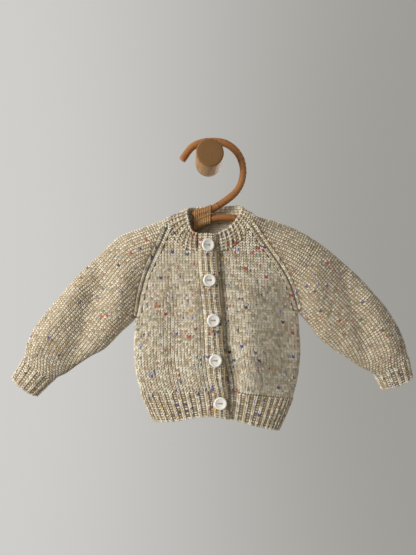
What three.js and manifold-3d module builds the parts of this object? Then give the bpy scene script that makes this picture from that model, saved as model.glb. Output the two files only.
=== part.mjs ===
import * as THREE from "three";
import { mergeVertices } from "three/addons/utils/BufferGeometryUtils.js";
import Module from "manifold-3d";

// A hand-knitted baby cardigan on a bent cane hanger that hangs on a round wooden wall peg.
// Millimetres. The origin is the centre of the peg's back face, +X runs along the wall,
// +Y goes into the wall and +Z is up. The wearer's right side lies at -X.

// Cloth
const clothThickness = 2.8;
const seamGap = 0.3;
const underarmEase = 0.4;
const yokeEase = 1.02; // least depth of a yoke row, as a share of its seam's depth
const ribHeight = 0.9;
const middleY = -27; // plane halfway between the front and the back of the garment
const flatness = 2.8; // power of the body's oval section, above 2 for a flatter front

// Body sections: side points, and how far the front and back stand off the middle plane
const bodySections = [
  { z: -60, left: -98, right: 120.5, front: 21, back: 13 },
  { z: -100, left: -98, right: 120.5, front: 21.5, back: 13.5 },
  { z: -150, left: -98, right: 120.5, front: 22, back: 17 },
  { z: -209, left: -98, right: 120.5, front: 24, back: 20 },
  { z: -250, left: -100.3, right: 123.5, front: 26, back: 22 },
  { z: -285, left: -98, right: 121.3, front: 24.5, back: 22 },
  { z: -315, left: -90, right: 115, front: 21, back: 19 },
  { z: -335, left: -81.5, right: 107.5, front: 19, back: 17 },
  { z: -355, left: -73, right: 98.5, front: 18, back: 16 },
  { z: -372, left: -68, right: 90, front: 17, back: 15 },
];

// Lower edge of the hem, and the line where the ribbing starts
const hemEdges = [
  { x: -100, start: -312, end: -356 },
  { x: -75, start: -310.5, end: -351 },
  { x: -45, start: -308.5, end: -347.5 },
  { x: -20, start: -307, end: -343 },
  { x: 5, start: -306.5, end: -341 },
  { x: 30, start: -308.5, end: -345.5 },
  { x: 60, start: -312.5, end: -354.5 },
  { x: 90, start: -317.5, end: -362 },
  { x: 122, start: -322, end: -370 },
];

// Front opening: middle and width of the buttonhole band, and where the other front starts
const bandLine = [
  { z: -98, middle: -4, width: 22, join: 10 },
  { z: -118, middle: -3.3, width: 23.5, join: 12 },
  { z: -139, middle: -3.1, width: 24, join: 14 },
  { z: -163, middle: -0.9, width: 25, join: 15.5 },
  { z: -188, middle: 1.1, width: 23.5, join: 18 },
  { z: -215, middle: 4, width: 24.5, join: 20.5 },
  { z: -240, middle: 4.6, width: 23.5, join: 21.5 },
  { z: -266, middle: 6.7, width: 25.5, join: 25 },
  { z: -292, middle: 8.5, width: 22, join: 31 },
  { z: -313, middle: 13, width: 21, join: 32 },
  { z: -345, middle: 15.5, width: 19.5, join: 29 },
];
const bandTop = -103;
const bandFootRise = 0.5;
const bandLift = 4.1; // how far the upper band stands off the lower one's face
const bandLiftShare = 0.2; // share of the upper band's width over which it rises
const lowerBandReach = 5; // how far the lower band runs past the middle, under the upper one
const bandDropShare = 0.45; // share of the lower band's width where it starts to meet its front
const buttonPlaces = [
  { x: -2.8, z: -118.2, turn: -15 },
  { x: -1, z: -163.2, turn: -9 },
  { x: 4, z: -214.3, turn: -8 },
  { x: 6.7, z: -265.1, turn: -4 },
  { x: 13.4, z: -321, turn: 0 },
];
const buttonRadius = 8.5;
const buttonHeight = 3;
const buttonBevel = 0.9;
const buttonRim = 1.8;
const buttonDish = 0.7;
const buttonLean = 0.6; // share of its radius by whose tip a leaning button stands off
const buttonSides = 16;
const buttonHoleRadius = 1.1;
const buttonHoleSpacing = 3.6;
const buttonHoleSides = 6;

// Sleeves: the top line, and the raglan seam down to the underarm, then the underside.
// Rows 0 to 4 are the yoke, rows 4 to 10 the sleeve and rows 10 to 11 the cuff.
const underarmRow = 4;
const cuffRow = 10;
const lastRow = 11;
const rightSleeve = [
  { row: 0, topX: -57, topZ: -81.8, underX: -54.6, underZ: -94, front: 17, back: 13 },
  { row: 1, topX: -88, topZ: -93.3, underX: -67.8, underZ: -123.8, front: 19, back: 17 },
  { row: 2, topX: -120, topZ: -106.2, underX: -82, underZ: -153.6, front: 20, back: 19 },
  { row: 3, topX: -147, topZ: -131.3, underX: -90.9, underZ: -183.5, front: 19, back: 18 },
  { row: 4, topX: -166, topZ: -148.5, underX: -98, underZ: -213.3, front: 17, back: 16 },
  { row: 5, topX: -182, topZ: -165.5, underX: -117, underZ: -232.5, front: 16, back: 15 },
  { row: 6, topX: -200, topZ: -187, underX: -138.6, underZ: -254.3, front: 16, back: 15 },
  { row: 7, topX: -216, topZ: -206, underX: -156.5, underZ: -264, front: 16, back: 14 },
  { row: 8, topX: -230, topZ: -224.5, underX: -175, underZ: -276, front: 15, back: 14 },
  { row: 9, topX: -240.5, topZ: -246.5, underX: -190, underZ: -287, front: 14, back: 13 },
  { row: 10, topX: -245.5, topZ: -267, underX: -204.5, underZ: -294.5, front: 12.5, back: 12 },
  { row: 11, topX: -259.2, topZ: -291.8, underX: -227.8, underZ: -316.3, front: 12, back: 11.5 },
];
const leftSleeve = [
  { row: 0, topX: 62, topZ: -77.5, underX: 54, underZ: -91, front: 17, back: 13 },
  { row: 1, topX: 92, topZ: -85.5, underX: 74, underZ: -119.55, front: 19, back: 17 },
  { row: 2, topX: 123, topZ: -98, underX: 95, underZ: -148.1, front: 20, back: 19 },
  { row: 3, topX: 157, topZ: -119, underX: 111, underZ: -176.65, front: 19, back: 18 },
  { row: 4, topX: 188, topZ: -145, underX: 120.5, underZ: -205.2, front: 17, back: 16 },
  { row: 5, topX: 205, topZ: -160.5, underX: 134, underZ: -222, front: 16, back: 15 },
  { row: 6, topX: 222, topZ: -178.8, underX: 150.1, underZ: -242.6, front: 16, back: 15 },
  { row: 7, topX: 238, topZ: -197, underX: 168, underZ: -256.8, front: 16, back: 14 },
  { row: 8, topX: 254, topZ: -220.5, underX: 188, underZ: -269.5, front: 15, back: 14 },
  { row: 9, topX: 265, topZ: -243.5, underX: 206, underZ: -281.5, front: 14, back: 13 },
  { row: 10, topX: 271.3, topZ: -268, underX: 224, underZ: -291.5, front: 12.5, back: 12 },
  { row: 11, topX: 276.9, topZ: -296.4, underX: 236.1, underZ: -311.7, front: 12, back: 11.5 },
];

// Neck: how far each neckline dips below or rises above a straight line between its ends,
// and the free edge of the neckband by its share of the way round from the front opening
const neckbandRound = 2.2;
const neckSeamGap = 0.4;
const neckCornerZ = -125.3; // where the necklines meet the front opening
const frontNecklineDip = 9.5;
const backNecklineRise = 5.5;
const backNecklinePower = 0.6; // below 1 for a flatter middle
const neckClamp = 0.004; // normals at the ends of the neckband are read this far inside
const neckSteps = 76; // two steps to a rib
const neckShares = {
  rightFront: 13 / neckSteps,
  rightSleeve: 23 / neckSteps,
  back: 52 / neckSteps,
  leftSleeve: 62 / neckSteps,
};
const neckEdge = [
  { share: 0, x: -15.4, y: -48.6, z: -102.3 },
  { share: 0.06, x: -22.5, y: -47.5, z: -98.8 },
  { share: 0.15, x: -26.8, y: -42, z: -84 },
  { share: 0.235, x: -28, y: -31, z: -70 },
  { share: 0.33, x: -21, y: -18, z: -64.5 },
  { share: 0.47, x: 5, y: -14, z: -62.5 },
  { share: 0.6, x: 31, y: -15, z: -61.5 },
  { share: 0.68, x: 42.5, y: -22, z: -62 },
  { share: 0.75, x: 42, y: -33, z: -68 },
  { share: 0.83, x: 37, y: -42, z: -79 },
  { share: 0.9, x: 28, y: -47, z: -91 },
  { share: 0.95, x: 19, y: -48.6, z: -97.5 },
  { share: 1, x: 10.6, y: -48.8, z: -101.5 },
];

// Folds: a soft ridge or trough along each line, its width and how far it stands out
const frontFolds = [
  { fromX: -68, fromZ: -175, toX: -74, toZ: -240, width: 13, rise: 2.5 },
  { fromX: -44, fromZ: -185, toX: -46, toZ: -265, width: 14, rise: -5 },
  { fromX: -20, fromZ: -180, toX: -19, toZ: -300, width: 9, rise: 3 },
  { fromX: -46, fromZ: -285, toX: -30, toZ: -296, width: 12, rise: -3 },
  { fromX: 48, fromZ: -185, toX: 55, toZ: -300, width: 19, rise: 7 },
  { fromX: 14, fromZ: -125, toX: 21, toZ: -240, width: 7, rise: -2.5 },
  { fromX: 22, fromZ: -255, toX: 31, toZ: -305, width: 8, rise: -6 },
  { fromX: 106, fromZ: -185, toX: 110, toZ: -285, width: 20, rise: -9 },
  { fromX: -109, fromZ: -165, toX: -130, toZ: -240, width: 12, rise: 5 },
  { fromX: -144, fromZ: -165, toX: -178, toZ: -262, width: 15, rise: -8 },
  { fromX: -174, fromZ: -176, toX: -224, toZ: -252, width: 10, rise: 4 },
  { fromX: 136, fromZ: -160, toX: 152, toZ: -225, width: 12, rise: 5 },
  { fromX: 178, fromZ: -150, toX: 210, toZ: -255, width: 13, rise: -6 },
  { fromX: 214, fromZ: -190, toX: 246, toZ: -255, width: 10, rise: 4 },
  { fromX: 146, fromZ: -241, toX: 200, toZ: -276, width: 8, rise: 3 },
];
const backFolds = [
  { fromX: -55, fromZ: -170, toX: -62, toZ: -285, width: 15, rise: -3.5 },
  { fromX: -15, fromZ: -190, toX: -8, toZ: -295, width: 12, rise: 3 },
  { fromX: 35, fromZ: -160, toX: 48, toZ: -270, width: 16, rise: -4 },
  { fromX: 84, fromZ: -215, toX: 80, toZ: -300, width: 12, rise: 2.5 },
  { fromX: -150, fromZ: -160, toX: -195, toZ: -255, width: 13, rise: -2.5 },
  { fromX: 155, fromZ: -165, toX: 215, toZ: -255, width: 14, rise: -2.5 },
];

// Grid steps of the cloth walls
const bodyRows = 8;
const yokeRows = 10;
const frontColumns = 8;
const backColumns = 16;
const sleeveRows = 10;
const sleeveColumns = 18;
const ribRows = 3;
const bandRows = 20;
const ribCounts = { rightHem: 12, leftHem: 12, backHem: 26, cuff: 14, band: 3 };

// Hanger and peg
const hangerY = -26;
const caneRadius = 4.8;
const caneSides = 10;
const hookRoute = [
  { x: -36.5, z: -2.5 },
  { x: -22, z: 16 },
  { x: 0, z: 23.2 },
  { x: 24, z: 20 },
  { x: 40.5, z: 5 },
  { x: 46.2, z: -17.5 },
  { x: 39, z: -41 },
  { x: 18.5, z: -59 },
  { x: -2, z: -70.2 },
  { x: -22.5, z: -76.8 },
];
const barRoute = [
  { x: -116, z: -113.4 },
  { x: -98, z: -106.8 },
  { x: -70, z: -103.5 },
  { x: -40, z: -101.5 },
  { x: -22, z: -95.5 },
  { x: -9, z: -86.5 },
  { x: 4, z: -81.5 },
  { x: 18, z: -79.3 },
  { x: 38, z: -80.6 },
  { x: 64, z: -88.5 },
  { x: 92, z: -97 },
  { x: 122, z: -107.2 },
];
const hookTail = 0.7; // share of the hook's length where its tail starts
const hookSteps = 40;
const barSteps = 26;
const bindingStart = -20.5;
const bindingEnd = 2.5;
const bindingTurns = 9;
const bindingWall = 1.1;
const bindingGap = 0.5;
const bindingPinch = 1.8;
const bindingArcSteps = 7;
const bindingStripHeight = 0.45;
const pegRadius = 18;
const pegLength = 55;
const pegChamfer = 1.2;
const pegSides = 48;

// Colours
const woolColour = 0xd6cbb2;
const shellColour = 0xf1efe8;
const caneColour = 0xb5742f;
const stripColour = 0xc08a4c;
const pegColour = 0xc79a5e;

const lerp = THREE.MathUtils.lerp;
const smooth = THREE.MathUtils.smoothstep;

// Smooth value of one column at a place on a table whose key column runs steadily one way
function read(table, key, at, column) {
  const direction = Math.sign(table.at(-1)[key] - table[0][key]);
  let i = 0;
  while (i < table.length - 2 && direction * (at - table[i + 1][key]) > 0) i++;
  const before = Math.max(i - 1, 0);
  const after = Math.min(i + 2, table.length - 1);
  const slope = (a, b) => (table[b][column] - table[a][column]) / (table[b][key] - table[a][key]);
  const span = table[i + 1][key] - table[i][key];
  const t = (at - table[i][key]) / span;
  const startSlope = slope(before, i + 1) * span;
  const endSlope = slope(i, after) * span;
  return (
    table[i][column] * (1 + 2 * t) * (1 - t) ** 2 +
    startSlope * t * (1 - t) ** 2 +
    table[i + 1][column] * t * t * (3 - 2 * t) -
    endSlope * t * t * (1 - t)
  );
}

// Sum of the folds at a place, each one fading with the distance from its line
function foldRise(folds, x, z) {
  let rise = 0;
  for (const fold of folds) {
    const runX = fold.toX - fold.fromX;
    const runZ = fold.toZ - fold.fromZ;
    const share = ((x - fold.fromX) * runX + (z - fold.fromZ) * runZ) / (runX ** 2 + runZ ** 2);
    const held = THREE.MathUtils.clamp(share, 0, 1);
    const distance = Math.hypot(x - fold.fromX - held * runX, z - fold.fromZ - held * runZ);
    rise += fold.rise * Math.exp(-((distance / fold.width) ** 2));
  }
  return rise;
}

// The body is one oval tube. Its turn runs from 0 at the left side in this view over the
// front to 1 at the other side, and over the back to 2.
function bodySurface(turn, z) {
  const left = read(bodySections, "z", z, "left");
  const right = read(bodySections, "z", z, "right");
  const c = Math.cos(Math.PI * turn);
  const s = Math.sin(Math.PI * turn);
  const x = (left + right) / 2 - ((right - left) / 2) * c;
  const depth = read(bodySections, "z", z, s >= 0 ? "front" : "back");
  const bulge = depth * Math.sqrt(Math.max(0, 1 - Math.abs(c) ** flatness));
  const fold = foldRise(s >= 0 ? frontFolds : backFolds, x, z) * Math.abs(s);
  return new THREE.Vector3(x, middleY - Math.sign(s) * (bulge + fold), z);
}

function turnAt(x, z) {
  const left = read(bodySections, "z", z, "left");
  const right = read(bodySections, "z", z, "right");
  const share = ((left + right) / 2 - x) / ((right - left) / 2);
  return Math.acos(THREE.MathUtils.clamp(share, -1, 1)) / Math.PI;
}

const frontAt = (x, z) => bodySurface(turnAt(x, z), z).y;

// Outward normal of a surface of two values, from small steps either way
function surfaceNormal(surface, s, t, tStep = 0.01) {
  const sStep = 1e-3;
  const across = surface(s + sStep, t).sub(surface(s - sStep, t));
  const along = surface(s, t + tStep).sub(surface(s, t - tStep));
  return across.cross(along).normalize();
}

const bodyNormal = (turn, z) => surfaceNormal(bodySurface, turn, z);

// Each side of the garment: its sleeve's rows and the sign that turns its normals outward
const rightSide = { name: "right", rows: rightSleeve, outward: -1 };
const leftSide = { name: "left", rows: leftSleeve, outward: 1 };

const neckZ = (side) => side.rows[0].underZ;
const underarmZ = (side) => side.rows[underarmRow].underZ;

function yokeRowAt(side, z) {
  return (underarmRow * (z - neckZ(side))) / (underarmZ(side) - neckZ(side));
}

// Turn of the body's tube along its side edge, and along the raglan seam above the underarm
function edgeTurn(side, z) {
  const sideTurn = side === rightSide ? 0 : 1;
  if (z <= underarmZ(side)) return sideTurn;
  return turnAt(read(side.rows, "row", yokeRowAt(side, z), "underX"), z);
}

// A sleeve's surface: each row is an arch from the raglan seam over the top line to the
// other raglan seam, and below the underarm an oval ring. Share 0 is the top line, 1 the
// front seam and -1 the back seam.
function sleeveSurface(side, share, row) {
  const value = (column) => read(side.rows, "row", row, column);
  const top = new THREE.Vector2(value("topX"), value("topZ"));
  const under = new THREE.Vector2(value("underX"), value("underZ"));
  const front = share >= 0;
  let seamDepth = 0;
  if (row < underarmRow) {
    const turn = edgeTurn(side, under.y);
    const seam = bodySurface(front ? turn : 2 - turn, under.y);
    seamDepth = Math.abs(middleY - seam.y);
  }
  const depth = Math.max(value(front ? "front" : "back"), seamDepth * yokeEase);
  const arc = Math.PI - Math.asin(seamDepth / depth);
  const angle = Math.abs(share) * arc;
  const reach = (1 - Math.cos(angle)) / (1 - Math.cos(arc));
  const place = top.clone().lerp(under, reach);
  const folds = front ? frontFolds : backFolds;
  const fold = foldRise(folds, place.x, place.y) * Math.sin(Math.PI * Math.min(Math.abs(share), 1));
  const rise = depth * Math.sin(angle) + fold;
  return new THREE.Vector3(place.x, middleY + (front ? -rise : rise), place.y);
}

function sleeveNormal(side, share, row) {
  const surface = (s, t) => sleeveSurface(side, s, t);
  return surfaceNormal(surface, share, row, 1e-3).multiplyScalar(side.outward);
}

// Both pieces at a raglan seam take the mean of their normals there, so the walls meet
function raglanNormal(side, front, z) {
  const turn = edgeTurn(side, z);
  const body = bodyNormal(front ? turn : 2 - turn, z);
  return body.add(sleeveNormal(side, front ? 1 : -1, yokeRowAt(side, z))).normalize();
}

// The seam opens a little towards the underarm, where the two walls meet at a sharp angle
function raglanGap(side, z) {
  const near = THREE.MathUtils.clamp(yokeRowAt(side, z) / underarmRow, 0, 1);
  return seamGap / 2 + underarmEase * near ** 6;
}

// Panels of the body lie between two turns and between two heights.
const upperBandEdge = (z) => read(bandLine, "z", z, "middle") - read(bandLine, "z", z, "width") / 2;
const joinEdge = (z) => read(bandLine, "z", z, "join");
const innerTurn = (side, z) => turnAt(side === rightSide ? upperBandEdge(z) : joinEdge(z), z);
const hemHeight = (x, column) => read(hemEdges, "x", x, column);

// Height of the hem's start or end at a turn, first found at a usual height for that line
const usualHeights = { start: -310, end: -348 };
function hemPoint(turn, column) {
  return hemHeight(bodySurface(turn, usualHeights[column]).x, column);
}

// Neckline and lower edge of a front, by the share of the way from its side to its opening
function frontTop(side, share) {
  const straight = lerp(neckZ(side), neckCornerZ, share);
  return straight - frontNecklineDip * Math.sin(Math.PI * share);
}

function frontPlace(side, share, height, lower, upper) {
  const z = (s) => lerp(lower(s), upper(s), height);
  const turn = lerp(edgeTurn(side, z(0)), innerTurn(side, z(1)), share);
  return { turn, z: z(share) };
}

function frontBottom(side, share, column) {
  const outer = side === rightSide ? 0 : 1;
  return hemPoint(lerp(outer, innerTurn(side, usualHeights[column]), share), column);
}

function backTop(share) {
  const straight = lerp(neckZ(rightSide), neckZ(leftSide), share);
  return straight + backNecklineRise * Math.sin(Math.PI * share) ** backNecklinePower;
}

const backBottom = (share, column) => hemPoint(share, column);

function backPlace(share, height, lower, upper) {
  const z = (s) => lerp(lower(s), upper(s), height);
  const turn = lerp(edgeTurn(rightSide, z(0)), edgeTurn(leftSide, z(1)), share);
  return { turn: 2 - turn, z: z(share) };
}

// Heights of a panel's rows as shares, with one row at the underarm
function rowShares(side) {
  const low = frontBottom(side, 0, "start");
  const heights = [];
  for (let i = 0; i <= bodyRows; i++) heights.push(lerp(low, underarmZ(side), i / bodyRows));
  for (let i = 1; i <= yokeRows; i++) heights.push(lerp(underarmZ(side), neckZ(side), i / yokeRows));
  return heights.map((z) => (z - low) / (neckZ(side) - low));
}

// The neck seam as seen by the panels under it: its point and their normal, by its share
// of the way round from one end of the front opening to the other
function neckSeam(share) {
  const { rightFront, rightSleeve: sleeveEnd, back, leftSleeve: otherEnd } = neckShares;
  if (share <= rightFront) return frontSeam(rightSide, 1 - share / rightFront);
  if (share <= sleeveEnd) {
    const across = 1 - (2 * (share - rightFront)) / (sleeveEnd - rightFront);
    return sleeveSeam(rightSide, across);
  }
  if (share <= back) return backSeam((share - sleeveEnd) / (back - sleeveEnd));
  if (share <= otherEnd) {
    const across = -1 + (2 * (share - back)) / (otherEnd - back);
    return sleeveSeam(leftSide, across);
  }
  return frontSeam(leftSide, (share - otherEnd) / (1 - otherEnd));
}

function frontSeam(side, share) {
  const upper = (s) => frontTop(side, s);
  const { turn, z } = frontPlace(side, share, 1, upper, upper);
  return { point: bodySurface(turn, z), normal: bodyNormal(turn, z) };
}

function backSeam(share) {
  const { turn, z } = backPlace(share, 1, backTop, backTop);
  return { point: bodySurface(turn, z), normal: bodyNormal(turn, z) };
}

function sleeveSeam(side, across) {
  const held = THREE.MathUtils.clamp(across, -1, 1);
  return { point: sleeveSurface(side, held, 0), normal: sleeveNormal(side, held, 0) };
}

// The neckband rises from the neck seam to its free edge, slightly rounded outward
function neckbandSurface(share, height) {
  const held = THREE.MathUtils.clamp(share, 0, 1);
  const base = neckSeam(held);
  const edge = ["x", "y", "z"].map((axis) => read(neckEdge, "share", share, axis));
  const point = base.point.lerp(new THREE.Vector3(...edge), height);
  return point.addScaledVector(base.normal, neckbandRound * Math.sin(Math.PI * height));
}

function neckbandNormal(share, height) {
  const inside = THREE.MathUtils.clamp(share, neckClamp, 1 - neckClamp);
  const normal = surfaceNormal(neckbandSurface, inside, height).negate();
  if (height > 0) return normal;
  return normal.add(neckSeam(share).normal).normalize();
}

// A wall of cloth over a grid. place(i, j) gives the point and normal of its outer face and
// how far a rib lifts it. Rows from closedFrom on are rings whose last column is the first.
function clothWall(rows, columns, place, closedFrom = Infinity) {
  const grid = [];
  for (let i = 0; i <= rows; i++) {
    const line = [];
    for (let j = 0; j <= columns; j++) line.push({ raise: 0, ...place(i, j) });
    grid.push(line);
  }
  insetEdges(grid, rows, columns, closedFrom);
  const outer = [];
  const inner = [];
  for (const line of grid) {
    for (const { point, normal, raise, depth = clothThickness } of line) {
      outer.push(point.clone().addScaledVector(normal, raise));
      inner.push(point.clone().addScaledVector(normal, -depth));
    }
  }
  const faces = wallFaces(rows, columns, closedFrom);
  const middle = Math.floor(rows / 2) * (columns + 1) + Math.floor(columns / 2);
  const across = outer[middle + 1].clone().sub(outer[middle]);
  const along = outer[middle + columns + 1].clone().sub(outer[middle]);
  const facing = across.cross(along).dot(grid[Math.floor(rows / 2)][Math.floor(columns / 2)].normal);
  return trianglesOf([...outer, ...inner], faces, facing < 0);
}

// Draws a wall's edges back by half a seam gap, and closes its ring rows
function insetEdges(grid, rows, columns, closedFrom) {
  const step = (from, to) => {
    return to.point.clone().sub(from.point).setLength(from.gap ?? seamGap / 2);
  };
  grid.forEach((line, i) => {
    if (i >= closedFrom) {
      line[columns] = line[0];
      return;
    }
    const first = step(line[0], line[1]);
    line[columns].point.add(step(line[columns], line[columns - 1]));
    line[0].point.add(first);
  });
  const shifts = new Map();
  for (let j = 0; j <= columns; j++) {
    shifts.set(grid[0][j], step(grid[0][j], grid[1][j]));
    shifts.set(grid[rows][j], step(grid[rows][j], grid[rows - 1][j]));
  }
  for (const [corner, shift] of shifts) corner.point.add(shift);
}

function wallFaces(rows, columns, closedFrom) {
  const width = columns + 1;
  const inside = (rows + 1) * width;
  const quads = [];
  const at = (i, j) => i * width + j;
  for (let i = 0; i < rows; i++) {
    for (let j = 0; j < columns; j++) {
      const [a, b, c, d] = [at(i, j), at(i, j + 1), at(i + 1, j + 1), at(i + 1, j)];
      quads.push([a, b, c, d], [d + inside, c + inside, b + inside, a + inside]);
    }
    if (i >= closedFrom) continue;
    quads.push([at(i, 0), at(i + 1, 0), at(i + 1, 0) + inside, at(i, 0) + inside]);
    const [low, high] = [at(i, columns), at(i + 1, columns)];
    quads.push([high, low, low + inside, high + inside]);
  }
  for (let j = 0; j < columns; j++) {
    quads.push([at(0, j + 1), at(0, j), at(0, j) + inside, at(0, j + 1) + inside]);
    const [low, high] = [at(rows, j), at(rows, j + 1)];
    quads.push([low, high, high + inside, low + inside]);
  }
  return quads;
}

function trianglesOf(points, quads, flip) {
  const positions = [];
  for (const [a, b, c, d] of quads) {
    const order = flip ? [a, d, c, a, c, b] : [a, b, c, a, c, d];
    for (const index of order) positions.push(...points[index].toArray());
  }
  const geometry = new THREE.BufferGeometry();
  geometry.setAttribute("position", new THREE.Float32BufferAttribute(positions, 3));
  return geometry;
}

const ribAt = (column) => (column % 2 === 1 ? ribHeight : 0);

// Panels of the body
function frontGeometry(side) {
  const shares = rowShares(side);
  const lower = (s) => frontBottom(side, s, "start");
  const upper = (s) => frontTop(side, s);
  return clothWall(shares.length - 1, frontColumns, (i, j) => {
    const share = j / frontColumns;
    const { turn, z } = frontPlace(side, share, shares[i], lower, upper);
    const atSeam = j === 0 && i >= bodyRows;
    const normal = atSeam ? raglanNormal(side, true, z) : bodyNormal(turn, z);
    const gap = atSeam ? raglanGap(side, z) : undefined;
    if (i === shares.length - 1) addNeckNormal(normal, frontNeckShare(side, share));
    return { point: bodySurface(turn, z), normal, gap };
  });
}

function frontNeckShare(side, share) {
  if (side === rightSide) return neckShares.rightFront * (1 - share);
  return lerp(neckShares.leftSleeve, 1, share);
}

function addNeckNormal(normal, share) {
  const held = THREE.MathUtils.clamp(share, neckClamp, 1 - neckClamp);
  const band = surfaceNormal(neckbandSurface, held, 0);
  normal.sub(band).normalize();
}

function backGeometry() {
  const right = rowShares(rightSide);
  const left = rowShares(leftSide);
  const lower = (s) => backBottom(s, "start");
  return clothWall(right.length - 1, backColumns, (i, j) => {
    const share = j / backColumns;
    const height = lerp(right[i], left[i], share);
    const { turn, z } = backPlace(share, height, lower, backTop);
    const seamSide = j === 0 ? rightSide : leftSide;
    const atSeam = i >= bodyRows && (j === 0 || j === backColumns);
    const normal = atSeam ? raglanNormal(seamSide, false, z) : bodyNormal(turn, z);
    const gap = atSeam ? raglanGap(seamSide, z) : undefined;
    if (i === right.length - 1) {
      addNeckNormal(normal, lerp(neckShares.rightSleeve, neckShares.back, share));
    }
    return { point: bodySurface(turn, z), normal, gap };
  });
}

function frontHemGeometry(side, ribs) {
  const lower = (s) => frontBottom(side, s, "end");
  const upper = (s) => frontBottom(side, s, "start");
  const columns = ribs * 2;
  return clothWall(ribRows, columns, (i, j) => {
    const { turn, z } = frontPlace(side, j / columns, i / ribRows, lower, upper);
    return hemSample(turn, z, ribAt(j));
  });
}

function hemSample(turn, z, raise) {
  return { point: bodySurface(turn, z), normal: bodyNormal(turn, z), raise, gap: seamGap };
}

function backHemGeometry() {
  const columns = ribCounts.backHem * 2;
  const lower = (s) => backBottom(s, "end");
  const upper = (s) => backBottom(s, "start");
  return clothWall(ribRows, columns, (i, j) => {
    const { turn, z } = backPlace(j / columns, i / ribRows, lower, upper);
    return hemSample(turn, z, ribAt(j));
  });
}

// Sleeves and cuffs. A sleeve's columns run from its front seam to its back seam, which is
// the way round the neck on the right side and the other way on the left.
function turnShare(side, column) {
  return side === rightSide ? column / sleeveColumns : 1 - column / sleeveColumns;
}

function sleeveGeometry(side) {
  const total = yokeRows + sleeveRows;
  const neckStart = side === rightSide ? neckShares.rightFront : neckShares.leftSleeve;
  const neckEnd = side === rightSide ? neckShares.rightSleeve : neckShares.back;
  return clothWall(
    total,
    sleeveColumns,
    (i, j) => {
      const below = underarmRow + ((i - yokeRows) * (cuffRow - underarmRow)) / sleeveRows;
      const row = i <= yokeRows ? (underarmRow * i) / yokeRows : below;
      const share = 1 - (2 * j) / sleeveColumns;
      const seamZ = lerp(neckZ(side), underarmZ(side), i / yokeRows);
      const atSeam = i <= yokeRows && Math.abs(share) === 1;
      const own = sleeveNormal(side, share, row);
      const normal = atSeam ? raglanNormal(side, share > 0, seamZ) : own;
      const gap = atSeam ? raglanGap(side, seamZ) : undefined;
      if (i === 0) addNeckNormal(normal, lerp(neckStart, neckEnd, turnShare(side, j)));
      return { point: sleeveSurface(side, share, row), normal, gap };
    },
    yokeRows,
  );
}

function cuffGeometry(side) {
  const columns = ribCounts.cuff * 2;
  return clothWall(
    ribRows,
    columns,
    (i, j) => {
      const row = lerp(cuffRow, lastRow, i / ribRows);
      const share = 1 - (2 * j) / columns;
      return {
        point: sleeveSurface(side, share, row),
        normal: sleeveNormal(side, share, row),
        raise: ribAt(j),
      };
    },
    0,
  );
}

function neckbandGeometry() {
  return clothWall(ribRows, neckSteps, (i, j) => {
    const share = j / neckSteps;
    const height = i / ribRows;
    return {
      point: neckbandSurface(share, height),
      normal: neckbandNormal(share, height),
      raise: ribAt(j),
      gap: neckSeamGap,
    };
  });
}

// Front bands: the upper one leaves the right front's edge and lies over the lower one
const bandMiddle = (z) => read(bandLine, "z", z, "middle");
const bandFace = (z) => frontAt(bandMiddle(z), z);

function upperBandSurface(share, z) {
  const edge = upperBandEdge(z);
  const x = edge + share * read(bandLine, "z", z, "width");
  const y = lerp(frontAt(edge, z), bandFace(z) - bandLift, smooth(share, 0, bandLiftShare));
  return new THREE.Vector3(x, y, z);
}

function lowerBandSurface(share, z) {
  const join = joinEdge(z);
  const x = lerp(bandMiddle(z) - lowerBandReach, join, share);
  const y = lerp(bandFace(z), frontAt(join, z), smooth(share, bandDropShare, 1));
  return new THREE.Vector3(x, y, z);
}

function bandGeometry(surface, seamFirst) {
  const columns = ribCounts.band * 2 + 1;
  return clothWall(bandRows, columns, (i, j) => {
    const share = j / columns;
    const foot = surface(share, usualHeights.end);
    const z = lerp(hemHeight(foot.x, "end") + bandFootRise, bandTop, i / bandRows);
    const raise = ribAt(seamFirst ? j + 1 : j);
    const point = surface(share, z);
    return { point, normal: surfaceNormal(surface, share, z), raise };
  });
}

// Buttons: a turned disc with a raised rim and two sewing holes
const wasm = await Module();
wasm.setup();

function solidOf(geometry) {
  const bare = geometry.index ? geometry.toNonIndexed() : geometry.clone();
  bare.deleteAttribute("normal");
  bare.deleteAttribute("uv");
  const merged = mergeVertices(bare, 1e-3);
  const triVerts = new Uint32Array(merged.index.array);
  const vertProperties = new Float32Array(merged.attributes.position.array);
  return new wasm.Manifold(new wasm.Mesh({ numProp: 3, vertProperties, triVerts }));
}

function geometryOf(solid) {
  const mesh = solid.getMesh();
  const geometry = new THREE.BufferGeometry();
  geometry.setAttribute("position", new THREE.BufferAttribute(mesh.vertProperties, 3));
  geometry.setIndex(new THREE.BufferAttribute(mesh.triVerts, 1));
  return geometry;
}

function buttonGeometry() {
  const profile = [
    [0, 0],
    [buttonRadius - buttonBevel, 0],
    [buttonRadius, buttonBevel],
    [buttonRadius, buttonHeight - buttonBevel],
    [buttonRadius - buttonBevel, buttonHeight],
    [buttonRadius - buttonRim, buttonHeight],
    [buttonRadius - buttonRim - buttonDish, buttonHeight - buttonDish],
    [0, buttonHeight - buttonDish],
  ].map(([radius, height]) => new THREE.Vector2(radius, height));
  let solid = solidOf(new THREE.LatheGeometry(profile, buttonSides));
  const holeWidths = [buttonHoleRadius, buttonHoleRadius];
  for (const side of [-1, 1]) {
    const hole = new THREE.CylinderGeometry(...holeWidths, buttonHeight * 3, buttonHoleSides);
    hole.translate((side * buttonHoleSpacing) / 2, 0, 0);
    solid = solid.subtract(solidOf(hole));
  }
  return geometryOf(solid);
}

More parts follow.
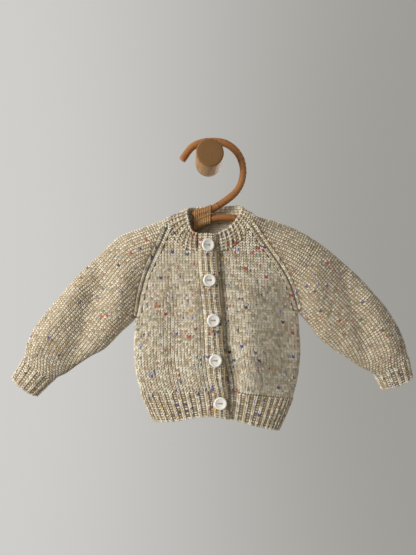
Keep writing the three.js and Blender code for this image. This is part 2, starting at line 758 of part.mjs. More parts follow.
// A button stands clear of the foremost of three heights of the band behind it
function placeButton(mesh, place) {
  const heights = [-1, 0, 1].map((step) => place.z + step * (buttonRadius - buttonBevel));
  const face = Math.min(...heights.map(bandFace)) - bandLift - ribHeight;
  const tilt = THREE.MathUtils.degToRad(place.turn);
  const clear = seamGap + Math.abs(Math.sin(tilt)) * buttonRadius * buttonLean;
  mesh.position.set(place.x, face - clear, place.z);
  mesh.rotation.set(Math.PI, 0, tilt);
}

// Hanger: the hook's tail lies above the bar, and cane strips bind the two together
const routePoint = ({ x, z }) => new THREE.Vector3(x, hangerY, z);
const hookCurve = new THREE.CatmullRomCurve3(hookRoute.map(routePoint));
const barCurve = new THREE.CatmullRomCurve3(barRoute.map(routePoint));

function caneGeometry(curve, steps) {
  const section = new THREE.Shape();
  for (let i = 0; i < caneSides; i++) {
    const angle = (2 * Math.PI * i) / caneSides;
    const x = caneRadius * Math.cos(angle);
    const y = caneRadius * Math.sin(angle);
    if (i === 0) section.moveTo(x, y);
    else section.lineTo(x, y);
  }
  section.closePath();
  return new THREE.ExtrudeGeometry(section, { steps, extrudePath: curve, bevelEnabled: false });
}

// Height of a cane's middle line where it crosses an upright plane, between two shares
const halvings = 40;
function caneHeight(curve, x, from, to) {
  let low = from;
  let high = to;
  const falling = curve.getPoint(from).x > curve.getPoint(to).x;
  for (let i = 0; i < halvings; i++) {
    const middle = (low + high) / 2;
    if (curve.getPoint(middle).x > x === falling) low = middle;
    else high = middle;
  }
  return curve.getPoint(low).z;
}

// One section of the binding goes over the upper cane, past the waist, under the lower cane
// and back up. Where a cane slopes, the upright section through it is taller.
function slopeStretch(curve, x, from) {
  const rise = caneHeight(curve, x + 0.5, from, 1) - caneHeight(curve, x - 0.5, from, 1);
  return Math.hypot(1, rise);
}

function bindingPoint(x, column, radius) {
  const upper = caneHeight(hookCurve, x, hookTail, 1);
  const lower = caneHeight(barCurve, x, 0, 1);
  const step = column % (2 * bindingArcSteps + 4);
  const onUpper = step <= bindingArcSteps;
  if (step === bindingArcSteps + 1 || step === 2 * bindingArcSteps + 3) {
    const sign = step === bindingArcSteps + 1 ? 1 : -1;
    return new THREE.Vector3(x, hangerY + sign * (radius - bindingPinch), (upper + lower) / 2);
  }
  const arcStep = onUpper ? step : step - bindingArcSteps - 2;
  const angle = (Math.PI * arcStep) / bindingArcSteps + (onUpper ? 0 : Math.PI);
  const stretch = onUpper ? slopeStretch(hookCurve, x, hookTail) : slopeStretch(barCurve, x, 0);
  const z = (onUpper ? upper : lower) + radius * stretch * Math.sin(angle);
  return new THREE.Vector3(x, hangerY - radius * Math.cos(angle), z);
}

function bindingGeometry() {
  const columns = 2 * bindingArcSteps + 4;
  const rows = bindingTurns * 2;
  const inside = caneRadius + bindingGap;
  return clothWall(
    rows,
    columns,
    (i, j) => {
      const x = lerp(bindingStart, bindingEnd, i / rows);
      const radius = inside + bindingWall + (i % 2 === 1 ? bindingStripHeight : 0);
      const point = bindingPoint(x, j, radius);
      const normal = point.clone().sub(bindingPoint(x, j, inside));
      const depth = normal.length();
      return { point, normal: normal.normalize(), depth };
    },
    0,
  );
}

function pegGeometry() {
  const profile = [
    [0, 0],
    [pegRadius, 0],
    [pegRadius, pegLength - pegChamfer],
    [pegRadius - pegChamfer, pegLength],
    [0, pegLength],
  ].map(([radius, height]) => new THREE.Vector2(radius, height));
  return new THREE.LatheGeometry(profile, pegSides);
}

// Assembly
const group = new THREE.Group();

function addPart(name, geometry, color, roughness) {
  const material = new THREE.MeshStandardMaterial({ color, roughness, metalness: 0 });
  const mesh = new THREE.Mesh(geometry, material);
  mesh.name = name;
  group.add(mesh);
  return mesh;
}

const addWool = (name, geometry) => addPart(name, geometry, woolColour, 0.95);

for (const side of [rightSide, leftSide]) {
  addWool(side.name + "_front", frontGeometry(side));
  addWool(side.name + "_front_hem", frontHemGeometry(side, ribCounts[side.name + "Hem"]));
  addWool(side.name + "_sleeve", sleeveGeometry(side));
  addWool(side.name + "_cuff", cuffGeometry(side));
}
addWool("back", backGeometry());
addWool("back_hem", backHemGeometry());
addWool("neckband", neckbandGeometry());
addWool("buttonhole_band", bandGeometry(upperBandSurface, false));
addWool("button_band", bandGeometry(lowerBandSurface, true));

buttonPlaces.forEach((place, i) => {
  placeButton(addPart("button_" + (i + 1), buttonGeometry(), shellColour, 0.35), place);
});

addPart("hanger_hook", caneGeometry(hookCurve, hookSteps), caneColour, 0.5);
addPart("hanger_bar", caneGeometry(barCurve, barSteps), caneColour, 0.5);
addPart("hanger_binding", bindingGeometry(), stripColour, 0.55);
addPart("wall_peg", pegGeometry(), pegColour, 0.6).rotation.x = Math.PI;

export default group;
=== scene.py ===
# Hand-knitted baby cardigan on a cane hanger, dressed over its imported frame
import math

import bmesh
import bpy
import numpy as np
from mathutils import Matrix, Vector


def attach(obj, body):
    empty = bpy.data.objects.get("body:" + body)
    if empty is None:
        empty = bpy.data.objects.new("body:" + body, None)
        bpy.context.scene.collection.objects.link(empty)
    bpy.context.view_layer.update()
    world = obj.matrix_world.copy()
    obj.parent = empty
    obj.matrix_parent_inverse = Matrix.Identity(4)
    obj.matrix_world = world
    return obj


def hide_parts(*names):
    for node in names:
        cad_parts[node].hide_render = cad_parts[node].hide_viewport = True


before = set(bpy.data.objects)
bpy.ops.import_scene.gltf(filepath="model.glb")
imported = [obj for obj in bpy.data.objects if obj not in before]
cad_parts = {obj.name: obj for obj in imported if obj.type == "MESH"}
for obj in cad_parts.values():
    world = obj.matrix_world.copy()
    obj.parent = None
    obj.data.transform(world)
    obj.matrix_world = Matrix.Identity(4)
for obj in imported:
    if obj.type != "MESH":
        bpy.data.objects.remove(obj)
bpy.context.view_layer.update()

mm = 0.001
rng = np.random.default_rng(7)


# Charts of the garment, in millimetres, as in the solids' source. Sides, fronts and sleeves are named
# from the wearer, and only the columns left and right of bodySections as seen from the front.
def chart(columns, *rows):
    return {name: np.array(values, float) for name, values in zip(columns.split(), zip(*rows))}


middleY = -27  # plane halfway between the front and the back
neckMiddleX = 10
flatness = 2.8
bodySections = chart(
    "z left right front back",
    (-60, -98, 120.5, 21, 13),
    (-100, -98, 120.5, 21.5, 13.5),
    (-150, -98, 120.5, 22, 17),
    (-209, -98, 120.5, 24, 20),
    (-250, -100.3, 123.5, 26, 22),
    (-285, -98, 121.3, 24.5, 22),
    (-315, -90, 115, 21, 19),
    (-335, -81.5, 107.5, 19, 17),
    (-355, -73, 98.5, 18, 16),
    (-372, -68, 90, 17, 15),
)
hemEdges = chart(
    "x start end",
    (-100, -312, -356),
    (-75, -310.5, -351),
    (-45, -308.5, -347.5),
    (-20, -307, -343),
    (5, -306.5, -341),
    (30, -308.5, -345.5),
    (60, -312.5, -354.5),
    (90, -317.5, -362),
    (122, -322, -370),
)
bandLine = chart(
    "z middle width join",
    (-98, -4, 22, 10),
    (-118, -3.3, 23.5, 12),
    (-139, -3.1, 24, 14),
    (-163, -0.9, 25, 15.5),
    (-188, 1.1, 23.5, 18),
    (-215, 4, 24.5, 20.5),
    (-240, 4.6, 23.5, 21.5),
    (-266, 6.7, 25.5, 25),
    (-292, 8.5, 22, 31),
    (-313, 13, 21, 32),
    (-345, 15.5, 19.5, 29),
)
underarmRow, cuffRow, lastRow = 4, 10, 11
rightSleeve = chart(
    "row topX topZ underX underZ front back",
    (0, -57, -81.8, -54.6, -94, 17, 13),
    (1, -88, -93.3, -67.8, -123.8, 19, 17),
    (2, -120, -106.2, -82, -153.6, 20, 19),
    (3, -147, -131.3, -90.9, -183.5, 19, 18),
    (4, -166, -148.5, -98, -213.3, 17, 16),
    (5, -182, -165.5, -117, -232.5, 16, 15),
    (6, -200, -187, -138.6, -254.3, 16, 15),
    (7, -216, -206, -156.5, -264, 16, 14),
    (8, -230, -224.5, -175, -276, 15, 14),
    (9, -240.5, -246.5, -190, -287, 14, 13),
    (10, -245.5, -267, -204.5, -294.5, 12.5, 12),
    (11, -259.2, -291.8, -227.8, -316.3, 12, 11.5),
)
leftSleeve = chart(
    "row topX topZ underX underZ front back",
    (0, 62, -77.5, 54, -91, 17, 13),
    (1, 92, -85.5, 74, -119.55, 19, 17),
    (2, 123, -98, 95, -148.1, 20, 19),
    (3, 157, -119, 111, -176.65, 19, 18),
    (4, 188, -145, 120.5, -205.2, 17, 16),
    (5, 205, -160.5, 134, -222, 16, 15),
    (6, 222, -178.8, 150.1, -242.6, 16, 15),
    (7, 238, -197, 168, -256.8, 16, 14),
    (8, 254, -220.5, 188, -269.5, 15, 14),
    (9, 265, -243.5, 206, -281.5, 14, 13),
    (10, 271.3, -268, 224, -291.5, 12.5, 12),
    (11, 276.9, -296.4, 236.1, -311.7, 12, 11.5),
)
neckEdge = chart(
    "share x y z",
    (0, -15.4, -48.6, -102.3),
    (0.06, -22.5, -47.5, -98.8),
    (0.15, -26.8, -42, -84),
    (0.235, -28, -31, -70),
    (0.33, -21, -18, -64.5),
    (0.47, 5, -14, -62.5),
    (0.6, 31, -15, -61.5),
    (0.68, 42.5, -22, -62),
    (0.75, 42, -33, -68),
    (0.83, 37, -42, -79),
    (0.9, 28, -47, -91),
    (0.95, 19, -48.6, -97.5),
    (1, 10.6, -48.8, -101.5),
)
neckSteps = 76  # rib columns round the neckband
seamColumns = {"rightFront": 13, "rightSleeve": 23, "back": 52, "leftSleeve": 62}
foldColumns = "fromX fromZ toX toZ width rise"
frontFolds = chart(
    foldColumns,
    (-68, -175, -74, -240, 13, 2.5),
    (-44, -185, -46, -265, 14, -5),
    (-20, -180, -19, -300, 9, 3),
    (-46, -285, -30, -296, 12, -3),
    (48, -185, 55, -300, 19, 7),
    (14, -125, 21, -240, 7, -2.5),
    (22, -255, 31, -305, 8, -6),
    (106, -185, 110, -285, 20, -9),
    (-109, -165, -130, -240, 12, 5),
    (-144, -165, -178, -262, 15, -8),
    (-174, -176, -224, -252, 10, 4),
    (136, -160, 152, -225, 12, 5),
    (178, -150, 210, -255, 13, -6),
    (214, -190, 246, -255, 10, 4),
    (146, -241, 200, -276, 8, 3),
)
backFolds = chart(
    foldColumns,
    (-55, -170, -62, -285, 15, -3.5),
    (-15, -190, -8, -295, 12, 3),
    (35, -160, 48, -270, 16, -4),
    (84, -215, 80, -300, 12, 2.5),
    (-150, -160, -195, -255, 13, -2.5),
    (155, -165, 215, -255, 14, -2.5),
)
neckCornerZ, frontNecklineDip, neckbandRound = -125.3, 9.5, 2.2
backNecklineRise, backNecklineRound = 5.5, 0.6
bandTop, bandFootRise, bandLift, lowerBandReach = -103, 0.5, 4.1, 5
bandLiftShare, bandDropShare = 0.2, 0.45
yokeEase = 1.02
usualHeights = {"start": -310, "end": -348}


def lerp(a, b, t):
    return a + (b - a) * t


def together(*values):
    return np.broadcast_arrays(*(np.asarray(value, float) for value in values))


def smooth(t, low, high):
    t = np.clip((t - low) / (high - low), 0, 1)
    return t * t * (3 - 2 * t)


def unit(vectors):
    return vectors / np.maximum(np.linalg.norm(vectors, axis=-1, keepdims=True), 1e-9)


def lengthsAlong(line):
    steps = np.linalg.norm(np.diff(line, axis=-2), axis=-1)
    return np.concatenate([np.zeros((*steps.shape[:-1], 1)), np.cumsum(steps, -1)], -1)


# A curve from a to b that leaves and arrives with the given slopes
def bend(a, b, startSlope, endSlope, t):
    between = a * (1 + 2 * t) * (1 - t) ** 2 + b * t * t * (3 - 2 * t)
    return between + startSlope * t * (1 - t) ** 2 - endSlope * t * t * (1 - t)


# A chart's column at given places, on a smooth curve through its values
def read(table, key, at, column):
    keys, values = table[key], table[column]
    way = np.sign(keys[-1] - keys[0])
    at = np.asarray(at, float)
    i = np.clip(np.searchsorted(way * keys, way * at) - 1, 0, len(keys) - 2)
    before, after = np.maximum(i - 1, 0), np.minimum(i + 2, len(keys) - 1)
    span = keys[i + 1] - keys[i]
    t = (at - keys[i]) / span
    startSlope = (values[i + 1] - values[before]) / (keys[i + 1] - keys[before]) * span
    endSlope = (values[after] - values[i]) / (keys[after] - keys[i]) * span
    return bend(values[i], values[i + 1], startSlope, endSlope, t)


def bodyAt(z, column):
    return read(bodySections, "z", z, column)


def bandAt(z, column):
    return read(bandLine, "z", z, column)


def foldRise(folds, x, z):
    rise = 0
    for fromX, fromZ, toX, toZ, width, height in zip(*folds.values()):
        runX, runZ = toX - fromX, toZ - fromZ
        held = np.clip(((x - fromX) * runX + (z - fromZ) * runZ) / (runX**2 + runZ**2), 0, 1)
        distance = np.hypot(x - fromX - held * runX, z - fromZ - held * runZ)
        rise = rise + height * np.exp(-((distance / width) ** 2))
    return rise


# turn is 0 at the right side, 1 at the left side over the front, and 2 back again over the back
def bodySurface(turn, z):
    turn, z = together(turn, z)
    left, right = bodyAt(z, "left"), bodyAt(z, "right")
    c, s = np.cos(np.pi * turn), np.sin(np.pi * turn)
    x = (left + right) / 2 - (right - left) / 2 * c
    front = s >= 0
    depth = np.where(front, bodyAt(z, "front"), bodyAt(z, "back"))
    bulge = depth * np.sqrt(np.maximum(0, 1 - np.abs(c) ** flatness))
    fold = np.where(front, foldRise(frontFolds, x, z), foldRise(backFolds, x, z)) * np.abs(s)
    return np.stack([x, middleY - np.sign(s) * (bulge + fold), z], -1)


def turnAt(x, z):
    left, right = bodyAt(z, "left"), bodyAt(z, "right")
    return np.arccos(np.clip(((left + right) / 2 - x) / ((right - left) / 2), -1, 1)) / np.pi


def frontAt(x, z):
    return bodySurface(turnAt(x, z), z)[..., 1]


def normalOf(surface, s, t, step=1e-3):
    across = surface(s + step, t) - surface(s - step, t)
    along = surface(s, t + step) - surface(s, t - step)
    return unit(np.cross(across, along))


rightSide = {"name": "right", "rows": rightSleeve, "sideTurn": 0, "inward": 1}
leftSide = {"name": "left", "rows": leftSleeve, "sideTurn": 1, "inward": -1}
for side in (rightSide, leftSide):
    side["neckZ"], side["underarmZ"] = side["rows"]["underZ"][[0, underarmRow]]


def yokeRowAt(side, z):
    return underarmRow * (z - side["neckZ"]) / (side["underarmZ"] - side["neckZ"])


def seamX(side, z):
    return read(side["rows"], "row", yokeRowAt(side, z), "underX")


def edgeTurn(side, z):
    z = np.asarray(z, float)
    return np.where(z <= side["underarmZ"], side["sideTurn"], turnAt(seamX(side, z), z))


# share is 0 along the top, and along the underarm 1 from the front or -1 from the back
def sleeveSurface(side, share, row):
    share, row = together(share, row)
    value = {c: read(side["rows"], "row", row, c) for c in side["rows"]}
    front = share >= 0
    turn = edgeTurn(side, value["underZ"])
    seam = bodySurface(np.where(front, turn, 2 - turn), value["underZ"])
    seamDepth = np.where(row < underarmRow, np.abs(middleY - seam[..., 1]), 0)
    depth = np.maximum(np.where(front, value["front"], value["back"]), seamDepth * yokeEase)
    arc = np.pi - np.arcsin(seamDepth / depth)
    angle = np.abs(share) * arc
    reach = (1 - np.cos(angle)) / (1 - np.cos(arc))
    x = lerp(value["topX"], value["underX"], reach)
    z = lerp(value["topZ"], value["underZ"], reach)
    fold = np.where(front, foldRise(frontFolds, x, z), foldRise(backFolds, x, z))
    rise = depth * np.sin(angle) + fold * np.sin(np.pi * np.minimum(np.abs(share), 1))
    return np.stack([x, middleY + np.where(front, -rise, rise), z], -1)


def upperBandEdge(z):
    return bandAt(z, "middle") - bandAt(z, "width") / 2


def joinEdge(z):
    return bandAt(z, "join")


def frontEdge(side, z):
    return upperBandEdge(z) if side is rightSide else joinEdge(z)


def innerTurn(side, z):
    return turnAt(frontEdge(side, z), z)


def hemPoint(turn, column):
    return read(hemEdges, "x", bodySurface(turn, usualHeights[column])[..., 0], column)


def frontTop(side, share):
    return lerp(side["neckZ"], neckCornerZ, share) - frontNecklineDip * np.sin(np.pi * share)


def frontBottom(side, share, column):
    return hemPoint(lerp(side["sideTurn"], innerTurn(side, usualHeights[column]), share), column)


# Turn and z of a spot, from its shares across a front and up it
def frontPlace(side, share, height, lower, upper):
    z = lerp(lower(share), upper(share), height)
    outer = lerp(lower(0 * share), upper(0 * share), height)
    inner = lerp(lower(1 + 0 * share), upper(1 + 0 * share), height)
    return lerp(edgeTurn(side, outer), innerTurn(side, inner), share), z


def backTop(share):
    rise = backNecklineRise * np.maximum(np.sin(np.pi * share), 0) ** backNecklineRound
    return lerp(rightSide["neckZ"], leftSide["neckZ"], share) + rise


def backPlace(share, height, lower, upper):
    z = lerp(lower(share), upper(share), height)
    outer = edgeTurn(rightSide, lerp(lower(0 * share), upper(0 * share), height))
    inner = edgeTurn(leftSide, lerp(lower(1 + 0 * share), upper(1 + 0 * share), height))
    return 2 - lerp(outer, inner, share), z


# The seam that carries the neckband, from the right front round the back to the left front
def neckSeam(share):
    share = np.asarray(share, float)
    a, b, c, d = (column / neckSteps for column in seamColumns.values())

    def front(side, s):
        upper = lambda t: frontTop(side, t)
        s = np.clip(s, 0, 1)
        return bodySurface(*frontPlace(side, s, 1, upper, upper))

    def back(s):
        return bodySurface(*backPlace(np.clip(s, 0, 1), 1, backTop, backTop))

    stretches = [
        (share <= a, front(rightSide, 1 - share / a)),
        (share <= b, sleeveSurface(rightSide, np.clip(1 - 2 * (share - a) / (b - a), -1, 1), 0)),
        (share <= c, back((share - b) / (c - b))),
        (share <= d, sleeveSurface(leftSide, np.clip(2 * (share - c) / (d - c) - 1, -1, 1), 0)),
    ]
    point = front(leftSide, (share - d) / (1 - d))
    for within, stretch in reversed(stretches):
        point = np.where(within[..., None], stretch, point)
    return point


def neckbandSurface(share, height):
    share, height = together(share, height)
    edge = np.stack([read(neckEdge, "share", share, axis) for axis in "xyz"], -1)
    base = neckSeam(np.clip(share, 0, 1))
    middle = np.array([neckMiddleX, middleY, 0])
    out = unit((base - middle) * [1, 1, 0])
    rounded = neckbandRound * np.sin(np.pi * height)
    return lerp(base, edge, height[..., None]) + out * rounded[..., None]


def bandFace(z):
    return frontAt(bandAt(z, "middle"), z)


def upperBandSurface(share, z):
    share, z = together(share, z)
    edge = upperBandEdge(z)
    y = lerp(frontAt(edge, z), bandFace(z) - bandLift, smooth(share, 0, bandLiftShare))
    return np.stack([edge + share * bandAt(z, "width"), y, z], -1)


def lowerBandSurface(share, z):
    share, z = together(share, z)
    join = joinEdge(z)
    y = lerp(bandFace(z), frontAt(join, z), smooth(share, bandDropShare, 1))
    return np.stack([lerp(bandAt(z, "middle") - lowerBandReach, join, share), y, z], -1)


# Shader maths as plain expressions
class Value:
    def __init__(self, wires, socket):
        self.wires, self.socket = wires, socket

    def maths(self, operation, *others, swapped=False):
        values = [self, *others]
        if swapped:
            values.reverse()
        return self.wires.node("Math", {"operation": operation}, dict(enumerate(values)))

    def __add__(self, other):
        return self.maths("ADD", other)

    __radd__ = __add__

    def __sub__(self, other):
        return self.maths("SUBTRACT", other)

    def __rsub__(self, other):
        return self.maths("SUBTRACT", other, swapped=True)

    def __mul__(self, other):
        return self.maths("MULTIPLY", other)

    def __pow__(self, other):
        return self.maths("POWER", other)


class Wires:
    def __init__(self, holder):
        holder.use_nodes = True
        self.holder, self.tree = holder, holder.node_tree
        self.tree.nodes.clear()

    def node(self, kind, settings=None, sockets=None, output=0):
        made = self.tree.nodes.new("ShaderNode" + kind)
        for name, value in (settings or {}).items():
            setattr(made, name, value)
        for name, value in (sockets or {}).items():
            if isinstance(value, Value):
                self.tree.links.new(value.socket, made.inputs[name])
            else:
                made.inputs[name].default_value = value
        return Value(self, made.outputs[output])

    def mix(self, share, first, second):
        sockets = {0: share, 6: self.colour(first), 7: self.colour(second)}
        return self.node("Mix", {"data_type": "RGBA"}, sockets, 2)

    def colour(self, value):
        return value if isinstance(value, Value) else (*value, 1)

    def ramp(self, value, low, high):
        sockets = {"Value": value, "From Min": low, "From Max": high}
        return self.node("MapRange", {"interpolation_type": "SMOOTHSTEP"}, sockets)

    def noise(self, at, scale, detail=2.0, roughness=0.5):
        sockets = {"Vector": at, "Scale": scale, "Detail": detail, "Roughness": roughness}
        return self.node("TexNoise", {}, sockets)

    def stretched(self, at, sizes):
        return self.node("VectorMath", {"operation": "MULTIPLY"}, {0: at, 1: sizes})

    def bump(self, height, distance):
        return self.node("Bump", {}, {"Height": height, "Distance": distance})

    def objectPlace(self):
        return self.node("TexCoord", output="Object")

    def attribute(self, name, output="Fac"):
        return self.node("Attribute", {"attribute_name": name}, output=output)

    def axes(self, vector):
        parts = self.node("SeparateXYZ", {}, {0: vector})
        return [Value(self, output) for output in parts.socket.node.outputs]

    def finish(self, sockets, shader="BsdfPrincipled", end="OutputMaterial"):
        made = self.node(shader, {}, sockets)
        surface = self.tree.nodes.new("ShaderNode" + end).inputs["Surface"]
        self.tree.links.new(made.socket, surface)
        return self.holder


def newFinish(name):
    return Wires(bpy.data.materials.new(name))


def srgb(*levels):
    shares = [level / 255 for level in levels]
    return tuple(c / 12.92 if c < 0.04 else ((c + 0.055) / 1.055) ** 2.4 for c in shares)


# Wool
wool = {
    "cream": srgb(217, 204, 176),
    "creamPale": srgb(249, 243, 225),
    "creamDeep": srgb(164, 146, 115),
    "heather": srgb(140, 126, 128),
    # hollow is the ground cloth's colour between the stitches, darker than the yarn: painted shade in
    # the gaps
    "hollow": srgb(150, 131, 102),
    "stitchWidth": 4.47,
    "courseHeight": 3.3,
    "yarnRadius": 1.0,
    "yarnFlatness": 0.86,
    "legLength": 2.3,  # half of it, along the leg
    "legLean": 24,
    "legSink": 17,  # how far a leg's lower end dips, in degrees
    "legOffset": 0.98,
    "legRise": 0.2,
    "purlSize": (2.3, 1.15, 0.8),
    "yarnSink": 0.35,  # how far a stitch's middle lies under the solid's face
    "groundDepth": 1.3,  # how far the ground cloth lies under that face
    "ribGroundDepth": 0.35,
    "groundThickness": 1.5,
    "unevenness": 0.08,
    "fleckShare": 0.085,
    "fleckRun": 0.2,  # chance that a fleck takes in the next leg too
    "fleckStrengths": [0.3, 0.9],
    "fleckOdds": [0.45, 0.55],
    "flecks": [
        (srgb(20, 26, 100), 0.2),
        (srgb(26, 44, 176), 0.22),
        (srgb(200, 14, 30), 0.26),
        (srgb(0, 132, 140), 0.16),
        (srgb(214, 164, 36), 0.1),
        (srgb(96, 78, 100), 0.08),
    ],
}
woolSheen = {"Sheen Weight": 0.25, "Sheen Roughness": 0.5}


def yarnMaterial():
    w = newFinish("tweedYarn")
    at = w.objectPlace()
    tone, fleckShare = w.attribute("tone"), w.attribute("fleckShare")
    mottle = w.noise(at, 60, 3)
    fuzz = w.noise(at, 1500, 3, 0.6)
    strand = w.noise(at, 500, 2)
    cream = w.mix(w.ramp(tone * 0.8 + mottle * 0.3, 0.0, 0.5), wool["creamDeep"], wool["cream"])
    cream = w.mix(w.ramp(tone * 0.8 + mottle * 0.25, 0.4, 0.8), cream, wool["creamPale"])
    cream = w.mix(w.ramp(w.noise(at, 420, 2), 0.54, 0.7) * 0.4, cream, wool["heather"])
    covered = fleckShare * (0.75 + w.ramp(fuzz, 0.3, 0.5) * 0.25)
    colour = w.mix(covered, cream, w.attribute("fleck", "Color"))
    bump = w.bump(fuzz * 0.6 + strand * 0.8, 0.0005)
    return w.finish({"Base Color": colour, "Roughness": 0.92, "Normal": bump, **woolSheen})


def groundMaterial(name, low, high):
    w = newFinish(name)
    across, along, _ = w.axes(w.node("UVMap", {"uv_map": "run"}))
    at = w.objectPlace()
    mottle = w.noise(at, 160, 3)
    fuzz = w.noise(at, 1300, 3, 0.6)
    rows, arcs = ((run * (2 * math.pi)).maths("COSINE") for run in (along, across))
    purl = (rows * 0.5 + 0.5) * (arcs * 0.25 + 0.75)
    # Colour follows the purl relief, darker where the bumps sink: painted shade between the purl rows
    colour = w.mix(w.ramp(purl * 0.6 + mottle * 0.5, 0.2, 0.9), low, high)
    bump = w.bump(purl + fuzz * 0.25, 0.0011)
    return w.finish({"Base Color": colour, "Roughness": 0.95, "Normal": bump, **woolSheen})


yarnMat = yarnMaterial()
# The outer ground cloth takes the hollow and deep creams, a shaded copy of the yarn colours: painted
# shade between the stitches
shadedGroundMat = groundMaterial("woolGround", wool["hollow"], wool["creamDeep"])
# The inside face gets a lighter copy of the ground colours in the yarn's paler creams: painted light on
# the shaded inside seen in the neck
litInsideMat = groundMaterial("woolInside", wool["cream"], wool["creamPale"])  # seen in the neck


def meshOf(name, bm):
    mesh = bpy.data.meshes.new(name)
    bm.to_mesh(mesh)
    bm.free()
    return mesh


def linked(name, data):
    made = bpy.data.objects.new(name, data)
    bpy.context.scene.collection.objects.link(made)
    return made


# A grid whose points are placed by their two shares
def gridPiece(columns, rows, place, uvSize):
    bm = bmesh.new()
    bmesh.ops.create_grid(bm, x_segments=columns, y_segments=rows, size=1)
    uv = bm.loops.layers.uv.new("run")
    shares = np.array([v.co for v in bm.verts])[:, :2] / 2 + 0.5
    for face in bm.faces:
        for loop in face.loops:
            u, v = shares[loop.vert.index]
            loop[uv].uv = (u * uvSize[0], v * uvSize[1])
    points = place(shares[:, 0], shares[:, 1]) * mm
    for vert, point in zip(bm.verts, points):
        vert.co = point
    bmesh.ops.remove_doubles(bm, verts=bm.verts, dist=2e-6)
    bmesh.ops.recalc_face_normals(bm, faces=bm.faces)
    return bm


def addMesh(name, mesh, material, nodes=()):
    mesh.materials.append(material)
    mesh.polygons.foreach_set("use_smooth", np.ones(len(mesh.polygons), bool))
    piece = linked(name, mesh)
    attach(piece, "root")
    if nodes:
        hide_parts(*nodes)
    return piece


def addPiece(name, bm, material, nodes=()):
    return addMesh(name, meshOf(name, bm), material, nodes)


def outwardNormal(surface, u, v):
    margin = 2e-3
    u, v = np.clip(u, margin, 1 - margin), np.clip(v, margin, 1 - margin)
    return normalOf(surface, u, v) * surface.facing


# The thin cloth under the stitches; ribbed cloth is raised into its ribs
def clothShell(node, columns, rows, surface, raised, uvSize):
    def place(u, v):
        lift = raised(u, v) - wool["ribGroundDepth"] if raised else 0 * u - wool["groundDepth"]
        return surface(u, v) + outwardNormal(surface, u, v) * lift[:, None]

    bm = gridPiece(columns, rows, place, uvSize)
    half = np.array([0.5])
    centre = Vector(surface(half, half)[0] * mm)
    middle = min(bm.faces, key=lambda face: (face.calc_center_median() - centre).length)
    if np.dot(middle.normal, outwardNormal(surface, half, half)[0]) < 0:
        bmesh.ops.reverse_faces(bm, faces=bm.faces)
    # Outer face in the painted-shade ground colours, the solidified inner wall in the lighter
    # painted-light copy
    piece = addPiece(node + "_cloth", bm, shadedGroundMat, [node])
    piece.data.materials.append(litInsideMat)
    wall = piece.modifiers.new("wall", "SOLIDIFY")
    wall.thickness, wall.offset, wall.material_offset = wool["groundThickness"] * mm, -1, 1
    return piece


def turnVerts(bm, verts, angle, axis):
    bmesh.ops.rotate(bm, verts=verts, matrix=Matrix.Rotation(angle, 3, axis))


# One stitch: two leaning legs of yarn whose lower ends lie on the stitch below
def stitchTemplate():
    bm = bmesh.new()
    radius = wool["yarnRadius"]
    for hand in (-1, 1):
        leg = bmesh.ops.create_uvsphere(bm, u_segments=5, v_segments=4, radius=1)["verts"]
        turnVerts(bm, leg, math.pi / 2, "X")
        size = (radius, wool["legLength"], radius * wool["yarnFlatness"])
        bmesh.ops.scale(bm, verts=leg, vec=size)
        turnVerts(bm, leg, -math.radians(wool["legSink"]), "X")
        turnVerts(bm, leg, -math.radians(hand * wool["legLean"]), "Z")
        bmesh.ops.translate(bm, verts=leg, vec=(hand * wool["legOffset"], wool["legRise"], 0))
    return templateArrays(bm)


# The bump of a purl stitch, lying across its rib's hollow
def purlTemplate():
    bm = bmesh.new()
    bmesh.ops.create_uvsphere(bm, u_segments=5, v_segments=4, radius=1)
    turnVerts(bm, bm.verts, math.pi / 2, "Y")
    bmesh.ops.scale(bm, verts=bm.verts, vec=wool["purlSize"])
    return templateArrays(bm)


legVerts = 17  # three rings of five vertices and two poles


def templateArrays(bm):
    bm.verts.index_update()
    verts = np.array([v.co for v in bm.verts])
    faces = [[v.index for v in f.verts] for f in bm.faces]
    loops = np.concatenate(faces)
    leg = loops // legVerts
    flat = np.zeros((len(loops), 2))
    for each in range(leg.max() + 1):
        own = verts[each * legVerts : (each + 1) * legVerts, :2]
        inLeg = leg == each
        flat[inLeg] = (verts[loops[inLeg], :2] - own.min(0)) / np.ptp(own, axis=0)
    # a leg has one square of the atlas: its front in the left half, its back in the right
    behind = np.array([f.normal.z < 0 for f in bm.faces for _ in f.verts])
    flat = flat * (0.42, 0.86) + 0.04
    flat[behind, 0] += 0.5
    verts[:, :2] = verts[:, :2] / (wool["stitchWidth"], wool["courseHeight"]) + 0.5
    bm.free()
    return {"verts": verts, "loops": loops, "sizes": [len(f) for f in faces], "leg": leg, "flat": flat}


knitLegs = stitchTemplate()
purlBump = purlTemplate()


def copiesOf(template, corners, normals, lift):
    verts = template["verts"]
    b, a, n = verts.T
    weights = np.stack([(1 - b) * (1 - a), b * (1 - a), (1 - b) * a, b * a])
    points = np.einsum("cv,scx->svx", weights, corners)
    jitter = rng.normal(0, wool["unevenness"], len(corners))
    points += normals[:, None] * (n[None, :, None] + (lift + jitter)[:, None, None])
    loops = (template["loops"][None] + np.arange(len(corners))[:, None] * len(verts)).ravel()
    return points.reshape(-1, 3), loops, np.tile(template["sizes"], len(corners))


